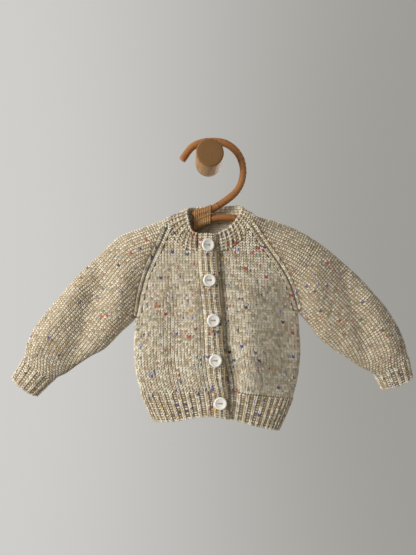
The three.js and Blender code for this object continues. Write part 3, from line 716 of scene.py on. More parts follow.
# All stitches of a piece as one mesh, in which every leg has its own tone and fleck
def stitches(name, groups):
    points, loops, sizes, legSizes, cells, flats = [], [], [], [], [], []
    legCount = 0
    for corners, normals, lift, template in groups:
        count, legs = len(corners), template["leg"].max() + 1
        spots, spotLoops, faceSizes = copiesOf(template, corners, normals, np.broadcast_to(lift, count))
        loops.append(spotLoops + sum(len(p) for p in points))
        points.append(spots)
        sizes.append(faceSizes)
        cells.append((template["leg"][None] + np.arange(count)[:, None] * legs).ravel() + legCount)
        flats.append(np.tile(template["flat"], (count, 1)))
        legSizes.append(np.full(count * legs, len(template["verts"]) // legs))
        legCount += count * legs
    points, loops, sizes, cells, flats = map(np.concatenate, (points, loops, sizes, cells, flats))
    mesh = bpy.data.meshes.new(name)
    mesh.vertices.add(len(points))
    mesh.vertices.foreach_set("co", (points * mm).astype(np.float32).ravel())
    mesh.loops.add(len(loops))
    mesh.loops.foreach_set("vertex_index", loops.astype(np.int32))
    mesh.polygons.add(len(sizes))
    starts = np.concatenate([[0], np.cumsum(sizes)[:-1]])
    mesh.polygons.foreach_set("loop_start", starts.astype(np.int32))
    mesh.update(calc_edges=True)
    across = math.ceil(math.sqrt(legCount))
    atlas = (np.stack([cells % across, cells // across], 1) + flats) / across
    mesh.uv_layers.new(name="OFBake").data.foreach_set("uv", atlas.astype(np.float32).ravel())
    perLeg = np.concatenate(legSizes)
    colour, share = fleckRuns(len(perLeg))
    addAttribute(mesh, "tone", "FLOAT", np.repeat(rng.random(len(perLeg)), perLeg))
    addAttribute(mesh, "fleck", "FLOAT_COLOR", np.repeat(colour, perLeg, axis=0))
    addAttribute(mesh, "fleckShare", "FLOAT", np.repeat(share, perLeg))
    return addMesh(name, mesh, yarnMat)


def addAttribute(mesh, name, kind, values):
    made = mesh.attributes.new(name, kind, "POINT")
    field = "color" if kind == "FLOAT_COLOR" else "value"
    made.data.foreach_set(field, values.astype(np.float32).ravel())


def fleckRuns(count):
    colour = np.ones((count, 4))
    share = np.zeros(count)
    palette, odds = (np.array(each) for each in zip(*wool["flecks"]))
    for start in np.flatnonzero(rng.random(count) < wool["fleckShare"]):
        run = 1 + (rng.random() < wool["fleckRun"])
        colour[start : start + run, :3] = palette[rng.choice(len(palette), p=odds / odds.sum())]
        share[start : start + run] = rng.choice(wool["fleckStrengths"], p=wool["fleckOdds"])
    return colour, share


# How the body, its raglan seams and the ribs are knitted
body = {
    "middleX": 11,
    "sideLean": 0.3,  # how far its outward directions point to the sides
    "gaugeZ": -250,  # where the wales are counted
    "frontHemZ": -308,
    "frontOverTop": 2,
    "backHemZ": -312,
    "backTopZ": -84,
    "necklineRoom": 0.35,  # courses kept free under the neckband
}
raglan = {  # widths are in stitches
    "room": 1.45,  # kept free of plain stitches
    "underarmRoom": 0.4,
    "sleeveEdges": (0.3, 1.36),
    "bodyEdges": (0.318, 1.4416),
    "lift": 0.8,
    "sleeveGroove": 0.34,
    "bodyGroove": 0.36,
    "grooveLift": -1.3,
    "slope": 1.065,  # the seam's length over its height
    "columnEnds": (2, 1),  # mm left free at the underarm and at the neck
    "grooveEnds": (1, 0),
}
rib = {
    "height": 0.8,
    "hollow": 0.25,
    "spread": 0.5,  # half a knit column, in columns
    "bandSpread": 0.66,
    "purlSpread": 0.42,
    "edgeLift": 0.3,
    "bandColumns": 7,
    "bandCourses": 73,
    "neckLean": 8,  # how far up the outward directions of the neckband point
}


# Cells of a lattice, from the low and high edges of its columns: courses by wales
def cellsOf(low, high, facing, keep=None, lift=-wool["yarnSink"], template=knitLegs):
    corners = np.stack([low[:-1], high[:-1], low[1:], high[1:]], 2)
    across = corners[:, :, 1] - corners[:, :, 0] + corners[:, :, 3] - corners[:, :, 2]
    along = corners[:, :, 2] - corners[:, :, 0] + corners[:, :, 3] - corners[:, :, 1]
    normal = unit(np.cross(across, along))
    middle = corners.mean(2)
    if np.mean(np.sign(np.sum(normal * facing(middle), -1))) < 0:
        return cellsOf(high, low, facing, keep, lift, template)
    kept = np.ones(corners.shape[:2], bool) if keep is None else keep(middle)
    return corners[kept], normal[kept], lift, template


# Values spaced evenly along a line, about a given size apart
def spaced(line, values, size):
    lengths = lengthsAlong(line)
    count = round(lengths[-1] / size)
    return np.interp(np.arange(count + 1) / count * lengths[-1], lengths, values)


# Directions that every outward normal of a piece leans to
def outFront(p):
    return np.stack([0 * p[..., 0], np.sign(p[..., 1] - middleY), 0 * p[..., 0]], -1)


def outBody(p):
    return outFront(p) + np.sign(p[..., :1] - body["middleX"]) * [body["sideLean"], 0, 0]


def waleTurns(start, end):
    turns = np.linspace(start, end, 400)
    return spaced(bodySurface(turns, body["gaugeZ"]), turns, wool["stitchWidth"])


def courseRows(bottom, top):
    count = round((top - bottom) / wool["courseHeight"])
    return np.arange(count + 1)[:, None] / count


def underNeckband(neckline):
    return neckline - body["necklineRoom"] * wool["courseHeight"]


def frontCells(side):
    topZ = side["neckZ"] + body["frontOverTop"]
    turns = waleTurns(innerTurn(side, body["gaugeZ"]), side["sideTurn"])
    heights = lerp(hemPoint(turns, "start"), topZ, courseRows(body["frontHemZ"], topZ))
    share = (turns - turns[0]) / (turns[-1] - turns[0])
    points = bodySurface(lerp(innerTurn(side, heights[:, :1]), side["sideTurn"], share), heights)

    def keep(p):
        x, z = p[..., 0], p[..., 2]
        clear = side["inward"] * (x - seamX(side, z)) > raglan["room"] * wool["stitchWidth"]
        outer, inner = side["rows"]["underX"][0], frontEdge(side, z)
        neckline = frontTop(side, np.clip((x - outer) / (inner - outer), 0, 1))
        return (clear | (z < side["underarmZ"] + 1)) & (z < underNeckband(neckline))

    return cellsOf(points[:, :-1], points[:, 1:], outBody, keep)


def backCells():
    turns = waleTurns(2, 1)
    rows = courseRows(body["backHemZ"], body["backTopZ"])
    points = bodySurface(turns, lerp(hemPoint(turns, "start"), body["backTopZ"], rows))

    def keep(p):
        x, z = p[..., 0], p[..., 2]
        room = raglan["room"] * wool["stitchWidth"]
        clear = (x > seamX(rightSide, z) + room) & (x < seamX(leftSide, z) - room)
        right, left = (side["rows"]["underX"][0] for side in (rightSide, leftSide))
        neckline = backTop(np.clip((x - right) / (left - right), 0, 1))
        low = z < min(rightSide["underarmZ"], leftSide["underarmZ"])
        return (clear | low) & (z < underNeckband(neckline))

    return cellsOf(points[:, :-1], points[:, 1:], outBody, keep)


# Lengths along half of a sleeve's round, from its fold line, at shares of that half
def sleeveLines(side, hand, rows):
    share = np.linspace(0, 1, 90)
    return lengthsAlong(sleeveSurface(side, hand * share, rows[:, None])), share


def sleeveCells(side):
    width = wool["stitchWidth"]
    rows = np.linspace(cuffRow, 0, 200)
    middle = sum(sleeveSurface(side, share, rows) for share in (0.0, 0.5, 0.98)) / 3
    rows = spaced(middle, rows, wool["courseHeight"])
    margin = np.where(rows < underarmRow, raglan["room"], raglan["underarmRoom"])[:, None] * width
    cells = []
    for hand in (1, -1):
        lengths, share = sleeveLines(side, hand, rows)
        marks = np.arange(int(lengths.max() / width) + 2) * width
        at = np.array([np.interp(marks, line, share) for line in lengths])
        points = sleeveSurface(side, hand * at, rows[:, None])
        fits = lengths[:, -1:] - marks[1:] > margin - width / 2
        kept = fits[:-1] & fits[1:]
        cells.append(cellsOf(points[:, :-1], points[:, 1:], outFront, lambda p: kept))
    return cells


def seamHeights(side, underarmEnd, neckEnd):
    height = side["neckZ"] - side["underarmZ"]
    count = round(height * raglan["slope"] / wool["courseHeight"])
    return np.linspace(side["underarmZ"] + underarmEnd, side["neckZ"] - neckEnd, count + 1)


def besideInSleeve(side, hand, z, distance):
    rows = yokeRowAt(side, z)
    lengths, share = sleeveLines(side, hand, rows)
    away = distance * wool["stitchWidth"]
    at = np.array([np.interp(line[-1] - away, line, share) for line in lengths])
    return sleeveSurface(side, hand * at, rows)[:, None]


def besideInBody(side, hand, z, distance):
    turn = turnAt(seamX(side, z) + side["inward"] * distance * wool["stitchWidth"], z)
    return bodySurface(turn if hand > 0 else 2 - turn, z)[:, None]


# Raised columns beside each raglan seam
def raglanCells(side, hand, beside):
    edges = raglan["bodyEdges"] if beside is besideInBody else raglan["sleeveEdges"]
    z = seamHeights(side, *raglan["columnEnds"])
    low, high = (beside(side, hand, z, edge) for edge in edges)
    return cellsOf(low, high, outFront, lift=raglan["lift"])


# Sewn stitches down in the groove of a raglan seam
def grooveCells(side, hand):
    z = seamHeights(side, *raglan["grooveEnds"])
    low = besideInSleeve(side, hand, z, raglan["sleeveGroove"])
    high = besideInBody(side, hand, z, raglan["bodyGroove"])
    return cellsOf(low, high, outFront, lift=raglan["grooveLift"])


# Knit columns, and purl bumps in the hollows between them
def ribCells(surface, columns, courses, facing, first=1, spread=rib["spread"]):
    v = np.linspace(0, 1, courses + 1)[:, None]
    knits, purls = first + 2 * np.arange(columns // 2), np.arange(first - 1, columns + 1, 2)
    groups = []
    for centres, width, lift, template in (
        (knits, spread, rib["height"], knitLegs),
        (purls, rib["purlSpread"], -rib["hollow"], purlBump),
    ):
        edges = (np.clip(centres + s * width, 0, columns) / columns for s in (-1, 1))
        low, high = (surface(edge + 0 * v, v + 0 * edge) for edge in edges)
        groups.append(cellsOf(low, high, facing, lift=lift, template=template))
    return groups


# Cast-on or bound-off chain along a free edge
def edgeCells(surface, columns, edge, depth, facing):
    v = np.sort([edge, edge + (depth if edge == 0 else -depth)])[:, None]
    k = np.arange(columns)
    low, high = (surface((k + s)[None] / columns + 0 * v, v + 0 * k[None]) for s in (0, 1))
    return [cellsOf(low, high, facing, lift=rib["edgeLift"], template=purlBump)]


def ribRaise(columns, first):
    height, hollow = rib["height"], rib["hollow"]
    wave = lambda u: 0.5 + 0.5 * np.cos(np.pi * (u * columns - first))
    return lambda u, v: (height + hollow) * wave(u) - hollow


# A knitted piece: its ground cloth, with its stitches over it
def knit(node, surface, cells, flat, grid, columns=None, first=1, facing=outFront, area=None, rests=()):
    half = np.array([0.5])
    leaning = np.sum(normalOf(surface, half, half) * facing(surface(half, half)))
    surface.facing = float(np.sign(leaning))
    across = columns or round(flat[0] / wool["stitchWidth"])
    uvSize = (across, round(flat[1] / wool["courseHeight"]))
    cloth = clothShell(node, *grid, surface, columns and ribRaise(columns, first), uvSize)
    knitted = stitches(node + "_stitches", cells)
    list(rests)
    area and area * mm * mm
    print("knitted", node, sum(len(corners) for corners, *_ in cells), "stitches")


def outNeck(p):
    return (p - [neckMiddleX, middleY, 0]) * [1, 1, 0] + [0, 0, rib["neckLean"]]


# Sizes laid flat, the ground cloth's faces and, where a piece is shaped, its area
plainPieces = {
    "front": {"flat": (108, 225), "grid": (36, 70), "area": 19000},
    "sleeve": {"flat": (206, 265), "grid": (72, 70), "area": 42000, "rests": ["hanger_bar"]},
    "back": {"flat": (232, 228), "grid": (72, 70), "area": 46000, "rests": ["hanger_bar"]},
    "band": {"flat": (26, 240), "grid": (42, 90), "columns": rib["bandColumns"]},
}
# edge is the free edge's height and edgeDepth how far its chain reaches in, as shares of the piece
ribPieces = {
    "frontHem": {
        "columns": 24, "courses": 12, "flat": (100, 40), "faces": 12,
        "facing": outBody, "edge": 0, "edgeDepth": 0.06,
    },
    "cuff": {
        "columns": 28, "courses": 9, "flat": (116, 28), "faces": 10,
        "facing": outFront, "edge": 0, "edgeDepth": 0.08,
    },
    "backHem": {
        "columns": 52, "courses": 12, "flat": (215, 42), "faces": 12,
        "facing": outBody, "edge": 0, "edgeDepth": 0.06,
    },
    "neckband": {
        "columns": neckSteps, "courses": 6, "flat": (250, 24), "faces": 10,
        "facing": outNeck, "edge": 1, "edgeDepth": 0.11,
    },
}


# A ribbed piece with a chain along its free edge
def knitRib(node, surface, columns, courses, flat, faces, facing, edge, edgeDepth):
    cells = ribCells(surface, columns, courses, facing)
    cells += edgeCells(surface, columns, edge, edgeDepth, facing)
    knit(node, surface, cells, flat, (columns * 4, faces), columns, facing=facing)


def knitSide(side):
    name = side["name"]

    def hemLine(share):
        return frontBottom(side, share, "start")

    def castOn(share):
        return frontBottom(side, share, "end")

    def front(u, v):
        return bodySurface(*frontPlace(side, u, v, hemLine, lambda share: frontTop(side, share)))

    def frontHem(u, v):
        return bodySurface(*frontPlace(side, u, v, castOn, hemLine))

    def sleeve(u, v):
        row = np.where(v < 0.5, v * 2 * underarmRow, lerp(underarmRow, cuffRow, v * 2 - 1))
        return sleeveSurface(side, 1 - 2 * u, row)

    def cuff(u, v):
        return sleeveSurface(side, 1 - 2 * u, lerp(lastRow, cuffRow, v))

    cells = [frontCells(side), raglanCells(side, 1, besideInBody), grooveCells(side, 1)]
    knit(name + "_front", front, cells, **plainPieces["front"])
    knitRib(name + "_front_hem", frontHem, **ribPieces["frontHem"])
    cells = sleeveCells(side) + [raglanCells(side, hand, besideInSleeve) for hand in (1, -1)]
    knit(name + "_sleeve", sleeve, cells, **plainPieces["sleeve"])
    knitRib(name + "_cuff", cuff, **ribPieces["cuff"])


knitSide(rightSide)
knitSide(leftSide)


def backHemLine(share):
    return hemPoint(share, "start")


def backPanel(u, v):
    return bodySurface(*backPlace(u, v, backHemLine, backTop))


def backHem(u, v):
    return bodySurface(*backPlace(u, v, lambda share: hemPoint(share, "end"), backHemLine))


cells = [backCells()] + [raglanCells(side, -1, besideInBody) for side in (rightSide, leftSide)]
cells += [grooveCells(side, -1) for side in (rightSide, leftSide)]
knit("back", backPanel, cells, **plainPieces["back"])
knitRib("back_hem", backHem, **ribPieces["backHem"])
knitRib("neckband", neckbandSurface, **ribPieces["neckband"])


def bandSheet(surface):
    def sheet(u, v):
        foot = read(hemEdges, "x", surface(u, usualHeights["end"])[..., 0], "end") + bandFootRise
        return surface(u, lerp(foot, bandTop, v))

    return sheet


bands = {"buttonhole_band": (upperBandSurface, 1), "button_band": (lowerBandSurface, 2)}
for node, (surface, first) in bands.items():
    sheet = bandSheet(surface)
    cells = ribCells(sheet, rib["bandColumns"], rib["bandCourses"], outFront, first, rib["bandSpread"])
    knit(node, sheet, cells, **plainPieces["band"], first=first)


# Cane hanger
cane = {
    "y": -26,
    "radius": 4.8,
    "hook": [
        (-36.5, -2.5), (-22, 16), (0, 23.2), (24, 20), (40.5, 5),
        (46.2, -17.5), (39, -41), (18.5, -59), (-2, -70.2), (-22.5, -76.8),
    ],
    "bar": [
        (-116, -113.4), (-98, -106.8), (-70, -103.5), (-40, -101.5), (-22, -95.5), (-9, -86.5),
        (4, -81.5), (18, -79.3), (38, -80.6), (64, -88.5), (92, -97), (122, -107.2),
    ],
    "hookJoints": [0.2, 0.47, 0.83],
    "barJoints": [0.22, 0.63, 0.9],
    "jointSwell": 0.05,
    "jointWidth": 1.6,
    "jointMark": 0.7,
    "tipRound": 0.9,
    "waver": [(0.012, 19, 0), (0.01, 43, 1)],  # size, rate and start of its unevenness
    "fibres": 90,  # seen round it
    "skin": srgb(148, 93, 44),
    "skinPale": srgb(174, 118, 62),
    "skinDark": srgb(98, 56, 24),
}


# A smooth curve through a route's points, in even steps, and its length
def canePath(route, count=400, samples=60):
    points = np.array(route, float)
    points = np.vstack([2 * points[0] - points[1], points, 2 * points[-1] - points[-2]])
    t = np.linspace(0, 1, samples, endpoint=False)[:, None]
    path = []
    for p0, p1, p2, p3 in zip(points, points[1:], points[2:], points[3:]):
        d0, d1, d2 = (np.linalg.norm(b - a) ** 0.5 for a, b in ((p0, p1), (p1, p2), (p2, p3)))
        start = ((p1 - p0) / d0 - (p2 - p0) / (d0 + d1) + (p2 - p1) / d1) * d1
        end = ((p2 - p1) / d1 - (p3 - p1) / (d1 + d2) + (p3 - p2) / d2) * d1
        path.append(bend(p1, p2, start, end, t))
    path = np.vstack([*path, points[-2:-1]])
    lengths = lengthsAlong(path)
    even = np.linspace(0, lengths[-1], count)
    return np.stack([np.interp(even, lengths, path[:, i]) for i in (0, 1)], 1), lengths[-1]


def caneMaterial(name, piece):
    w = newFinish(name)
    run = w.node("UVMap", {"uv_map": "run"})
    fibres = w.noise(w.stretched(run, (piece["fibres"], 1.6, 1)), 1.0, 4, 0.6)
    broad = w.noise(w.objectPlace(), 55, 2)
    specks = w.ramp(w.noise(w.stretched(run, (26, 9, 1)), 1.0, 2), 0.66, 0.74)
    rings = w.attribute("joint")
    pale = w.ramp(fibres * 0.7 + broad * 0.5, 0.35, 0.85)
    colour = w.mix(pale, piece["skin"], piece["skinPale"])
    return w.finish({
        "Base Color": w.mix(specks * 0.5 + rings * 0.6, colour, piece["skinDark"]),
        "Roughness": w.ramp(broad, 0.2, 0.8) * 0.2 + 0.36,
        "Coat Weight": 0.15,
        "Coat Roughness": 0.35,
        "Normal": w.bump(fibres + rings * 0.8 - specks * 0.4, 0.0004),
    })


caneMat = caneMaterial("canePole", cane)


def canePole(node, route, joints):
    path, length = canePath(route)
    steps = len(path)
    tangents = unit(np.gradient(path, axis=0))

    def nearJoints(v, width):
        return sum(np.exp(-(((v - joint) * length / width) ** 2)) for joint in joints)

    def place(u, v):
        at = np.clip(v * (steps - 1), 0, steps - 1)
        x, z, alongX, alongZ = (np.interp(at, np.arange(steps), line) for line in (*path.T, *tangents.T))
        waver = sum(size * np.sin(v * rate + start) for size, rate, start in cane["waver"])
        radius = cane["radius"] * (1 + cane["jointSwell"] * nearJoints(v, cane["jointWidth"]) + waver)
        tip = np.minimum(v, 1 - v) * length
        radius = radius - cane["tipRound"] * np.clip(1 - tip / cane["tipRound"], 0, 1) ** 2
        across, deep = radius * np.cos(2 * np.pi * u), radius * np.sin(2 * np.pi * u)
        return np.stack([x - alongZ * across, cane["y"] + deep, z + alongX * across], -1)

    mesh = meshOf(node, closed(gridPiece(24, 240, place, (1, length / 10))))
    points = np.array([v.co for v in mesh.vertices]) / mm
    nearest = [np.argmin(np.hypot(path[:, 0] - p[0], path[:, 1] - p[2])) for p in points]
    marks = nearJoints(np.array(nearest) / (steps - 1), cane["jointMark"])
    addAttribute(mesh, "joint", "FLOAT", marks)
    return addMesh(node + "_cane", mesh, caneMat, [node])


def closed(bm):
    rims = [e for e in bm.edges if e.is_boundary]
    bmesh.ops.holes_fill(bm, edges=rims, sides=0)
    bmesh.ops.recalc_face_normals(bm, faces=bm.faces)
    return bm


canePole("hanger_hook", cane["hook"], cane["hookJoints"])
canePole("hanger_bar", cane["bar"], cane["barJoints"])
print("bent the cane")

# Cane strip binding: one long strip wound round both canes, and a thin one round its waist
binding = {
    "start": -20.5,
    "end": 2.5,
    "turns": 9,
    "radius": 5.95,
    "pinch": 1.9,
    "arc": 0.32,  # share of a turn that lies round one cane
    "halfWidth": 1.2,
    "halfThickness": 0.75,
    "standOff": 1.05,  # how much further it bulges above and below
    "waistReach": (1.6, 1.1),
    "waistCorners": 0.35,
    "waistThickness": 0.5,
    "waistWidth": 0.75,
    "fibres": 14,
    "skin": srgb(158, 112, 62),
    "skinPale": srgb(190, 146, 92),
    "skinDark": srgb(102, 62, 28),
}


def boundHeights(x):
    hook, bar = canePath(cane["hook"])[0], canePath(cane["bar"])[0]
    tail = hook[len(hook) * 7 // 10 :][::-1]
    return np.interp(x, tail[:, 0], tail[:, 1]), np.interp(x, bar[:, 0], bar[:, 1])


# A point of the winding: round one cane, across to the other, round it and back
def bindingPlace(x, w):
    upper, lower = boundHeights(x)
    radius, w = binding["radius"], w % 1
    out = w < 0.5
    side = np.where(out, 1, -1)
    arc = np.where(out, w, w - 0.5) / binding["arc"]
    angle = np.pi * np.clip(arc, 0, 1)
    fall = np.clip((arc - 1) / (0.5 / binding["arc"] - 1), 0, 1)
    nearZ, farZ = np.where(out, upper, lower), np.where(out, lower, upper)
    crossing = side * (radius - binding["pinch"] * np.sin(np.pi * fall))
    y = np.where(arc <= 1, -side * radius * np.cos(angle), crossing)
    bulge = side * radius * binding["standOff"] * np.sin(angle)
    z = np.where(arc <= 1, nearZ + bulge, lerp(nearZ, farZ, fall))
    return np.stack([x, cane["y"] + y, z], -1)


def stripPlace(u, v):
    w = v * binding["turns"] + 0.5
    x = lerp(binding["start"], binding["end"], v)
    middle = bindingPlace(x, w)
    step = 0.004
    along = unit(bindingPlace(x, w + step) - bindingPlace(x, w - step))
    out = np.cross([1.0, 0, 0], along)
    wide = binding["halfWidth"] * np.cos(2 * np.pi * u)
    thick = binding["halfThickness"] * np.sin(2 * np.pi * u)
    return middle + np.stack([wide, 0 * u, 0 * u], -1) + out * thick[:, None]


def waistPlace(u, v):
    start, end, (reachX, reachY) = (binding[name] for name in ("start", "end", "waistReach"))
    halfX, halfY = (end - start) / 2 + reachX, binding["radius"] - binding["pinch"] + reachY
    c, s = np.cos(2 * np.pi * v), np.sin(2 * np.pi * v)
    boxed = lambda share: np.sign(share) * np.abs(share) ** binding["waistCorners"]
    x = (end + start) / 2 + halfX * boxed(c)
    z = sum(boundHeights(x)) / 2 + binding["waistWidth"] * np.sin(2 * np.pi * u)
    out = binding["waistThickness"] * np.cos(2 * np.pi * u)
    return np.stack([x + c * out, cane["y"] + halfY * boxed(s) + s * out, z], -1)


stripMat = caneMaterial("caneStrip", binding)
for part, place, rows, length in (("wraps", stripPlace, 560, 55), ("waist", waistPlace, 160, 6)):
    bm = closed(gridPiece(12, rows, place, (1, length)))
    addPiece("hanger_binding_" + part, bm, stripMat, ["hanger_binding"])
print("wound the binding")

# Shell buttons
button = {
    "places": [
        (-2.8, -118.2, -15), (-1, -163.2, -9), (4, -214.3, -8), (6.7, -265.1, -4), (13.4, -321, 0),
    ],
    "radius": 8.3,
    "rim": [
        (1.6, 0), (0.5, 0.35), (0, 1.1), (0, 1.9), (0.35, 2.6),
        (1, 3), (1.9, 2.95), (2.7, 2.5), (3.4, 2.2),
    ],
    "dish": [(2.8, 2.1), (0, 2.1)],
    "height": 3,
    "clear": 0.3,  # gap behind the button
    "lean": 0.6,
    "solidRadius": 8.5,
    "bevel": 0.9,
    "holeRadius": 1.05,
    "holeSpacing": 3.6,
    "drill": 9,
    "strand": (2.5, 0.42, 0.42),
    "strandTurn": 0.12,
    "strandGap": 0.42,
    "strandHeights": {-1: 2.15, 0: 2.25, 1: 2.15},
    "shank": {"radius1": 1.6, "radius2": 1.3, "depth": 2.4},
    "shankPlace": -1.1,
    "shell": srgb(246, 244, 238),
    "shellWarm": srgb(255, 252, 245),
    "shellCool": srgb(226, 228, 228),
    "thread": srgb(196, 184, 160),
}


def shellMaterial():
    w = newFinish("buttonShell")
    at = w.objectPlace()
    swirl = w.noise(w.stretched(at, (1, 1, 1.6)), 160, 3, 0.55)
    bands = w.noise(w.stretched(at, (1, 1, 3)), 320, 2)
    colour = w.mix(w.ramp(swirl, 0.35, 0.62), button["shell"], button["shellWarm"])
    return w.finish({
        "Base Color": w.mix(w.ramp(bands, 0.5, 0.75) * 0.7, colour, button["shellCool"]),
        "Roughness": w.ramp(swirl, 0.2, 0.8) * 0.16 + 0.2,
        "Coat Weight": 0.4,
        "Coat Roughness": 0.12,
        "Normal": w.bump(bands, 0.0002),
    })


def threadMaterial():
    w = newFinish("sewingThread")
    fuzz = w.noise(w.objectPlace(), 2600, 2)
    colour = w.mix(fuzz, button["thread"], wool["creamDeep"])
    return w.finish({"Base Color": colour, "Roughness": 0.8, "Normal": w.bump(fuzz, 0.0003)})


shellMat, threadMat = shellMaterial(), threadMaterial()


def turned(profile, steps):
    bm = bmesh.new()
    verts = [bm.verts.new((r, h, 0)) for r, h in profile]
    edges = [bm.edges.new(pair) for pair in zip(verts, verts[1:])]
    spun = {"cent": (0, 0, 0), "axis": (0, 1, 0), "angle": 2 * math.pi}
    bmesh.ops.spin(bm, geom=verts + edges, steps=steps, use_merge=True, **spun)
    bmesh.ops.remove_doubles(bm, verts=bm.verts, dist=1e-7)
    bmesh.ops.recalc_face_normals(bm, faces=bm.faces)
    return bm


def cut(piece, cutters):
    for i, cutter in enumerate(cutters):
        hole = piece.modifiers.new("hole%d" % i, "BOOLEAN")
        hole.operation, hole.object, hole.solver = "DIFFERENCE", cutter, "EXACT"
    bpy.context.view_layer.update()
    shaped = bpy.data.meshes.new_from_object(piece.evaluated_get(bpy.context.evaluated_depsgraph_get()))
    piece.modifiers.clear()
    piece.data = shaped
    for cutter in cutters:
        bpy.data.objects.remove(cutter)


def buttonPlace(x, z, lean):
    reach, tilt = button["solidRadius"], math.radians(lean)
    heights = [z + s * (reach - button["bevel"]) for s in (-1, 0, 1)]
    face = min(float(bandFace(height)) for height in heights) - bandLift - rib["height"]
    clear = button["clear"] + abs(math.sin(tilt)) * reach * button["lean"]
    turns = Matrix.Rotation(math.pi, 4, "X") @ Matrix.Rotation(tilt, 4, "Z")
    return Matrix.Translation(Vector((x, face - clear, z)) * mm) @ turns


def addCone(bm, segments, **sizes):
    sizes = {name: size * mm for name, size in sizes.items()}
    made = bmesh.ops.create_cone(bm, cap_ends=True, segments=segments, **sizes)["verts"]
    turnVerts(bm, made, math.pi / 2, "X")
    return made


def threadHole(place, side):
    radius = button["holeRadius"]
    bm = bmesh.new()
    addCone(bm, 20, radius1=radius, radius2=radius, depth=button["drill"])
    at = Vector((side * button["holeSpacing"] / 2, button["height"] / 2, 0)) * mm
    bm.transform(place @ Matrix.Translation(at))
    return linked("cutter", meshOf("cutter", bm))


# Three strands of thread through the holes, and the shank behind
def sewing(place):
    bm = bmesh.new()
    for strand, height in button["strandHeights"].items():
        made = bmesh.ops.create_uvsphere(bm, u_segments=12, v_segments=8, radius=1)["verts"]
        turnVerts(bm, made, math.pi / 2, "Y")
        bmesh.ops.scale(bm, verts=made, vec=Vector(button["strand"]) * mm)
        turnVerts(bm, made, strand * button["strandTurn"], "Y")
        at = Vector((0, height, strand * button["strandGap"])) * mm
        bmesh.ops.translate(bm, verts=made, vec=at)
    made = addCone(bm, 16, **button["shank"])
    bmesh.ops.translate(bm, verts=made, vec=(0, button["shankPlace"] * mm, 0))
    bm.transform(place)
    return bm


def sewnButton(number, x, z, lean):
    name, radius = "button_%d" % number, button["radius"]
    place = buttonPlace(x, z, lean)
    profile = [(0, 0), *((radius - inset, height) for inset, height in button["rim"]), *button["dish"]]
    bm = turned([(r * mm, h * mm) for r, h in profile], 48)
    bm.transform(place)
    piece = addPiece(name + "_shell", bm, shellMat, [name])
    cut(piece, [threadHole(place, side) for side in (-1, 1)])
    addPiece(name + "_thread", sewing(place), threadMat)


for number, spot in enumerate(button["places"], 1):
    sewnButton(number, *spot)
print("sewed on the buttons")

# Wall peg
peg = {
    "radius": 18,
    "length": 55,
    "edge": 2.2,
    "edgeStart": 0.3,  # where its rounded edge begins, as an angle
    "heart": 0.006,  # how far its rings' middle lies to the side, in metres
    "wood": srgb(156, 108, 48),
    "woodPale": srgb(184, 136, 66),
    "woodDark": srgb(104, 68, 30),
    # end grain colour, darker also as painted shade of the dimly lit end face
    "endGrain": srgb(114, 80, 40),
}


def pegMaterial():
    w = newFinish("pegWood")
    at = w.objectPlace()
    wander = w.noise(w.stretched(at, (1, 0.2, 1)), 60, 2)
    x, y, z = w.axes(at)
    off = x + peg["heart"]
    distance = (off * off + z * z) ** 0.5
    rings = ((distance * 900 + wander * 6) * math.pi).maths("SINE") * 0.5 + 0.5
    pores = w.noise(w.stretched(at, (1, 0.12, 1)), 900, 3, 0.6)
    colour = w.mix(rings * 0.55 + wander * 0.3, peg["wood"], peg["woodPale"])
    colour = w.mix(w.ramp(pores, 0.56, 0.72) * 0.6, colour, peg["woodDark"])
    # The end face is end grain; its darker colour is partly real and partly painted shade of that face,
    # which gets little light
    face = w.ramp(y * (-1 / mm), peg["length"] - 1.6, peg["length"] - 0.6)
    return w.finish({
        "Base Color": w.mix(face * (0.75 + rings * 0.2), colour, peg["endGrain"]),
        "Roughness": 0.55,
        "Coat Weight": 0.08,
        "Normal": w.bump(pores + rings * 0.3, 0.0003),
    })


radius, length, edge = peg["radius"], peg["length"], peg["edge"]
profile = [(0, 0), (radius, 0)]
profile += [(radius, (length - edge) * t) for t in (0.25, 0.5, 0.75, 1)]
for angle in np.linspace(peg["edgeStart"], math.pi / 2, 6):
    profile.append((radius - edge + edge * math.cos(angle), length - edge + edge * math.sin(angle)))
profile += [(radius * t, length) for t in (0.6, 0.3, 0)]
bm = turned([(r * mm, -h * mm) for r, h in profile], 72)
addPiece("wall_peg_wood", bm, pegMaterial(), ["wall_peg"])
print("turned the peg")

# Stage
cameraPlace = {"x": -21.68, "y": -587, "z": -159.88, "yaw": -2.06, "lens": 27.05, "sensor": 36}
camera = bpy.data.cameras.new("camera")
camera.lens, camera.sensor_width = cameraPlace["lens"], cameraPlace["sensor"]
cameraObject = linked("camera", camera)
cameraObject.location = [cameraPlace[axis] * mm for axis in "xyz"]
cameraObject.rotation_euler = (math.radians(90), 0, math.radians(cameraPlace["yaw"]))
bpy.context.scene.camera = cameraObject

bpy.context.scene.view_settings.view_transform = "Standard"

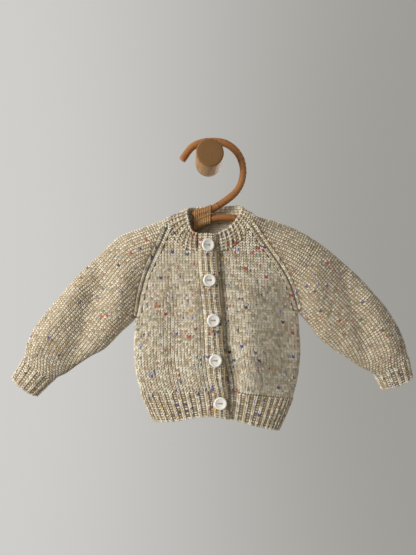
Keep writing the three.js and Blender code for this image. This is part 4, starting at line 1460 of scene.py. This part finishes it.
light = {  # its places and sizes are in metres
    "wallLeft": srgb(208, 207, 204),
    "wallRight": srgb(158, 156, 150),
    "room": srgb(150, 148, 144),
    "wallFade": (-0.45, 0.5),  # from its left side to its right
    "roomFade": (0.2, -0.6),  # from the wall to the viewer's side
    "target": (0, 0, -0.22),
    "keyPlace": (-1.15, -0.8, 0.15),
    "keySize": 0.7,
    "keyPower": 20,
    "keyColour": (1, 0.97, 0.92),
    "backPlace": (0.9, 1.2, 0.3),
    "backSize": 1.4,
    "backPower": 14,
    "backColour": (1, 0.98, 0.95),
}


def paleRoom():
    w = Wires(bpy.data.worlds.new("paleRoom"))
    x, y, _ = w.axes(w.node("TexCoord", output="Generated"))
    # The world lights the scene as a fill lamp, and its backdrop fades from the bright left to the
    # darker right: painted light fall-off of a wall lit from the left
    wall = w.mix(w.ramp(x, *light["wallFade"]), light["wallLeft"], light["wallRight"])
    colour = w.mix(w.ramp(y, *light["roomFade"]), wall, light["room"])
    return w.finish({"Color": colour}, "Background", "OutputWorld")


def areaLight(name):
    data = bpy.data.lights.new(name + "Light", "AREA")
    data.energy, data.size, data.color = (light[name + what] for what in ("Power", "Size", "Colour"))
    lamp = linked(name + "Light", data)
    lamp.location = light[name + "Place"]
    aim = Vector(light["target"]) - lamp.location
    lamp.rotation_euler = aim.to_track_quat("-Z", "Y").to_euler()


bpy.context.scene.world = paleRoom()
areaLight("key")
areaLight("back")

# Pale floor, well below what the photo's view takes in; its sizes are in metres
floor = {"height": -1.0, "radius": 0.65, "fade": 0.25, "colour": srgb(214, 212, 208)}


def floorMaterial():
    w = newFinish("paleFloor")
    x, y, _ = w.axes(w.objectPlace())
    distance = (x * x + y * y) ** 0.5
    shown = 1 - w.ramp(distance, floor["radius"] - floor["fade"], floor["radius"])
    return w.finish({"Base Color": (*floor["colour"], 1), "Roughness": 0.9, "Alpha": shown})


bm = bmesh.new()
bmesh.ops.create_circle(bm, cap_ends=True, segments=64, radius=floor["radius"])
bmesh.ops.translate(bm, verts=bm.verts, vec=(0, 0, floor["height"]))
floorPiece = linked("floor", meshOf("floor", bm))
floorPiece.data.materials.append(floorMaterial())
print("set the stage")
